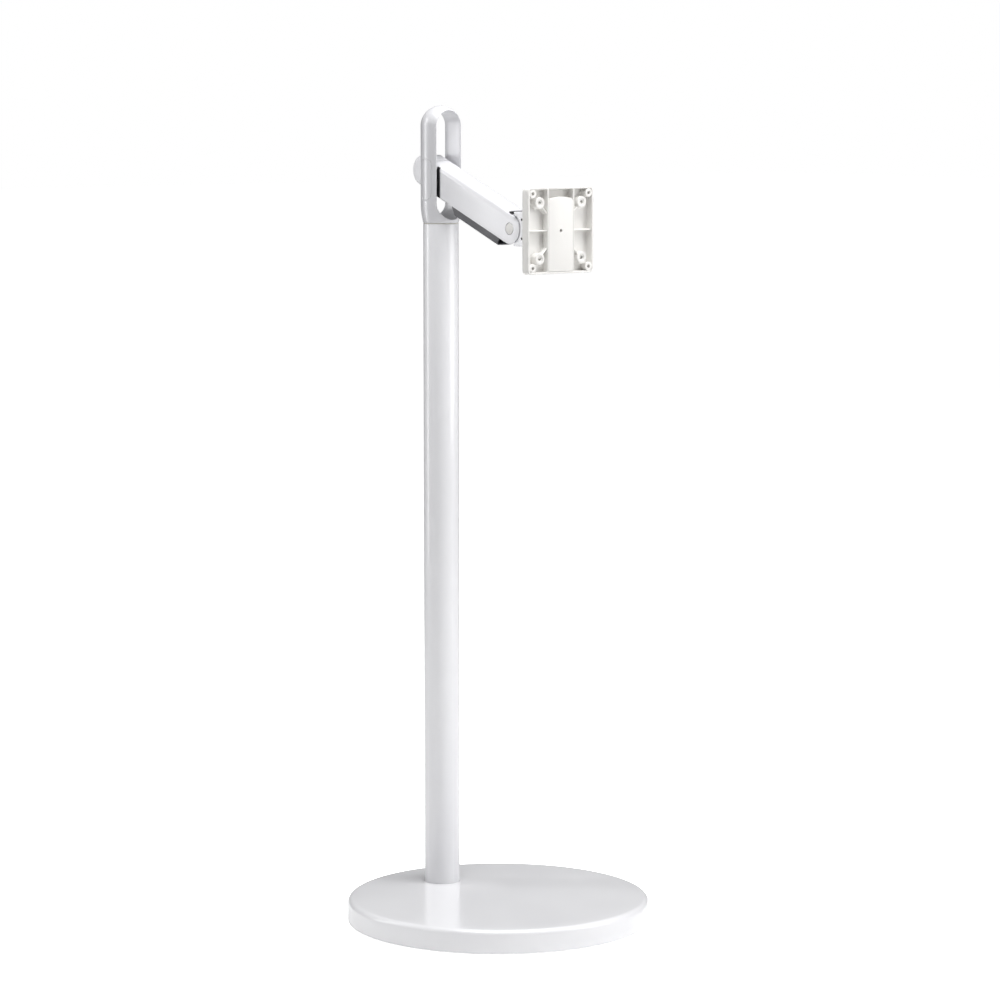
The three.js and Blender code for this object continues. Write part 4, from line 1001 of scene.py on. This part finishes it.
def makeKnuckle():
    # rounded outer outline, inner outline with the drum, and the same mirrored; four screw holes, two lugs
    half, drumHalf = wrist["half"], wrist["drumHalf"]
    depth, inset = wall(half, drumHalf, wrist["edge"], 0)
    outside = insetBy(knuckleOutline(False), inset)
    inside = insetBy(knuckleOutline(True), [0.0])
    flat = np.concatenate([outside, inside])
    depth = np.concatenate([depth, [drumHalf]])
    flat = np.concatenate([flat, flat[::-1]])
    depth = np.concatenate([-depth, depth[::-1]])[:, None]
    knuckle = makePiece("wrist_casting", [skin(place(depth, flat[..., 0], flat[..., 1], tiltPin))])
    at, up, hole, deep = (wrist[key] for key in ("screwAt", "screwUp", "screwHole", "screwHoleDeep"))
    drill(knuckle, [disc(hole, way * (half - deep), way * (half + 2), 0.1, "x", tiltPin,
                         middle=(at, level * up), steps=32) for way in (-1, 1) for level in (-1, 1)])
    reach, lug = wrist["lugAt"], wrist["lug"]
    tab = rectangle(-lug, lug, wrist["front"] - 3, reach + lug, (0, 0, lug, lug), wrist["lugSteps"])
    weld(knuckle, makePiece("wrist_lugs", [
        slab(tab, way * wrist["lugLow"], way * wrist["lugHigh"], *wrist["lugEdges"], "up", tiltPin)
        for way in (-1, 1)]))
    finish(knuckle, "wrist", "painted_casting", "wrist_knuckle")


def makeWristScrews():
    # two socket screws in each side of the knuckle, and the pan pin's head and shank
    half, at, up = wrist["half"], wrist["screwAt"], wrist["screwUp"]
    for way, side in ((-1, "left"), (1, "right")):
        for level, height in ((-1, "lower"), (1, "upper")):
            node = f"knuckle_screw_{side}_{height}"
            screw = socketScrew(wrist["screwRadius"], way * (half - wrist["screwSink"]),
                                way * (half - wrist["screwLong"]), *wrist["socket"], "x", tiltPin,
                                (at, level * up))
            finish(makePiece(f"{node}_socket", [screw]), "wrist", "black_nylon", node)
    pinHead = socketScrew(*wrist["pinHead"], "up", panPin)
    shank = disc(*wrist["pinShank"], "up", panPin, steps=48)
    finish(makePiece("pan_pin_turned", [pinHead, shank]), "wrist", "zinc_steel", "pan_pin")


hub = {"barrel": 9.3, "tall": 11.7, "barrelEdge": 0.8, "neck": 6.0, "neckRound": 1.5, "disc": 24.0,
       "discFrom": 12.0, "discTo": 17.0, "discEdge": 1.2, "spindle": 6.0, "spindleTo": 27,
       "friction": (6.3, 17.3, 18.3, 0.2), "screw": (4, 30.7, 29.1, 1.6, 1.0)}


def makeHub():
    # upright barrel, square neck, round disc and spindle, then the friction ring and the spindle's screw
    neck, tall, radius = hub["neck"], hub["tall"], hub["disc"]
    piece = makePiece("pan_hub_casting", [
        disc(hub["barrel"], -tall, tall, hub["barrelEdge"], "up", panPin),
        slab(rectangle(-neck, neck, -tall, tall, hub["neckRound"]), 0, hub["discFrom"] + 1, 0, 0,
             "ahead", panPin),
        disc(radius, hub["discFrom"], hub["discTo"], hub["discEdge"], "ahead", panPin, steps=96),
        disc(hub["spindle"], hub["discTo"] - 1, hub["spindleTo"], 0.3, "ahead", panPin)])
    finish(piece, "pan", "painted_casting", "pan_hub")
    friction = makePiece("turn_friction_disc", [ring(radius, *hub["friction"], "ahead", panPin, steps=96)])
    finish(friction, "pan", "black_nylon", "turn_friction_ring")
    screw = makePiece("spindle_screw_head", [socketScrew(*hub["screw"], "ahead", panPin)])
    finish(screw, "pan", "black_nylon", "spindle_screw")


plate = {"half": 58.5, "back": 21.3, "front": 34.3, "floor": 23.8, "rim": 2.8, "corner": 6.0,
         "cornerSteps": 8, "backEdge": 1.0, "weld": 0.6, "bossEdge": 0.8, "braceGap": 0.9,
         "bossRounds": (0.6, 0.25, 0.15, 0.35), "socket": (13, 5.4, 0.4),
         "rimEdge": 0.6, "foot": 0.8, "draft": 0.3, "bossRadius": 24.0, "bossBack": 18.6,
         "outer": 50.0, "inner": 37.5, "hole": 2.4, "outerBoss": 6.0, "innerBoss": 8.0, "counterbore": 4.2,
         "counterDeep": 0.9, "rib": (22.0, 23.8), "ribThick": 1.8, "ribTop": 32.3, "ribEdge": 0.45,
         "ribFoot": 22.5}


def quadrants(*distances):
    # places on the plate's diagonals, at these distances to the side and up
    return [(sx * d, sz * d) for sx in (-1, 1) for sz in (-1, 1) for d in distances]


def makeTray():
    # square pan: back edge, side, rounded rim, inner side with its draft, floor; then eight holes
    k, half = quarter(), plate["half"]
    edge, foot, rim = plate["rimEdge"], plate["foot"], plate["rim"]
    depth, inset = wall(plate["back"], plate["front"], plate["backEdge"], edge)
    depth = np.concatenate([depth, plate["front"] - edge * (1 - np.cos(k)),
                            plate["floor"] + foot * (1 - np.sin(k))])
    inset = np.concatenate([inset, rim - edge * (1 - np.sin(k)),
                            rim + plate["draft"] + foot * (1 - np.cos(k))])
    flat = insetBy(rectangle(-half, half, -half, half, plate["corner"], plate["cornerSteps"]), inset)
    tray = makePiece("vesa_tray", [skin(place(flat[..., 0], depth[:, None], flat[..., 1], panPin))])
    drill(tray, [disc(plate["hole"], plate["bossBack"], plate["front"] - 4, 0.1, "ahead", panPin,
                      middle=spot, steps=32) for spot in quadrants(plate["outer"], plate["inner"])])
    return tray


def bossProfile(radius, counterbore):
    # section of a hollow boss: round shoulder outside, a step round the hole, hole edge chamfered
    top, foot, hole = plate["front"], plate["ribFoot"], plate["hole"]
    step = [(counterbore, top), (counterbore, top - plate["counterDeep"])] if counterbore else []
    low = top - (plate["counterDeep"] if counterbore else 0)
    outer, rimRound, floorRound, holeRound = plate["bossRounds"]
    radii = [0, 0, outer] + [rimRound, floorRound] * bool(counterbore) + [holeRound]
    return softened([(hole, foot), (radius, foot), (radius, top)] + step + [(hole, low)], radii, 3)


def makeRibs():
    # on each side a long rib, a cross rib and two braces at 45 degrees, all rounded along their tops
    foot, edge, middleTop = plate["ribFoot"], plate["ribEdge"], plate["ribTop"]
    nearRib, farRib = plate["rib"]
    inside, thin = plate["half"] - plate["rim"] + plate["weld"], plate["ribThick"] / 2
    outlines = []
    for sx in (-1, 1):
        x0, x1 = sorted((sx * nearRib, sx * farRib))
        outlines.append((rectangle(x0, x1, -inside, inside), plate["front"]))
        x0, x1 = sorted((sx * (nearRib + 1), sx * inside))
        outlines.append((rectangle(x0, x1, -thin, thin), middleTop))
        for sz in (-1, 1):
            along = np.array([sx, sz]) / math.sqrt(2)
            side = np.array([-along[1], along[0]]) * thin
            start, end = [along * d * math.sqrt(2) for d in (nearRib + plate["braceGap"], plate["inner"])]
            brace = corners([start - side, end - side, end + side, start + side], 0)
            outlines.append((brace, middleTop))
    return [slab(outline, foot, top, 0, edge, "ahead", panPin) for outline, top in outlines]


def makePlate():
    # the tray with its bosses, its ribs, the round boss behind and the spindle's socket welded on
    tray = makeTray()
    sizes = {plate["outer"]: (plate["outerBoss"], 0),
             plate["inner"]: (plate["innerBoss"], plate["counterbore"])}
    bosses = [turned(bossProfile(*sizes[abs(spot[0])]), "ahead", panPin, middle=spot, closed=True, steps=48)
              for spot in quadrants(plate["outer"], plate["inner"])]
    boss = disc(plate["bossRadius"], plate["bossBack"], plate["back"] + plate["weld"], plate["bossEdge"],
                "ahead", panPin, steps=96)
    radius, reach, edge = plate["socket"]
    socket = disc(radius, plate["ribFoot"], plate["back"] + reach, edge, "ahead", panPin)
    weld(tray, makePiece("tray_details", bosses + makeRibs() + [boss, socket]))
    finish(tray, "plate", "white_abs", "mounting_plate")


lid = {"half": 21.7, "foot": -55.4, "side": 42.0, "rise": 3.0, "corner": 1.2, "back": 24.1, "edge": 0.5,
       "backEdge": 0.2, "keyHole": 2.2, "shoulder": 6.0, "shoulderUp": 1.4, "crownUp": 0.7,
       "crownShare": 0.6, "archSteps": 10}


def makeCentreCover():
    # square foot with round corners, and an arch of one wide round that meets the sides in round shoulders
    half, side, foot, rise, shoulder = (lid[key] for key in ("half", "side", "foot", "rise", "shoulder"))
    radius = (half ** 2 + rise ** 2) / (2 * rise) * lid["crownShare"]
    box = rectangle(-half, half, foot, side, lid["corner"])
    count = len(box[0]) // 2
    lower = tuple(part[:count] for part in box)
    up = side + lid["shoulderUp"]
    top = corners([(half, foot), (half, up), (0, side + rise + lid["crownUp"]), (-half, up), (-half, foot)],
                  (0, shoulder, radius, shoulder, 0), lid["archSteps"])
    count = len(top[0]) // 5
    upper = tuple(part[count:4 * count] for part in top)
    body = slab(joined(lower, upper), lid["back"], plate["front"], lid["backEdge"], lid["edge"],
                "ahead", panPin)
    piece = makePiece("centre_cap", [body])
    drill(piece, [disc(lid["keyHole"], lid["back"] - 3, plate["front"] + 3, 0.1, "ahead", panPin, steps=48)])
    finish(piece, "plate", "white_abs", "centre_cover")


makeKnuckle()
makeWristScrews()
makeHub()
makePlate()
makeCentreCover()
print("wrist and plate made")
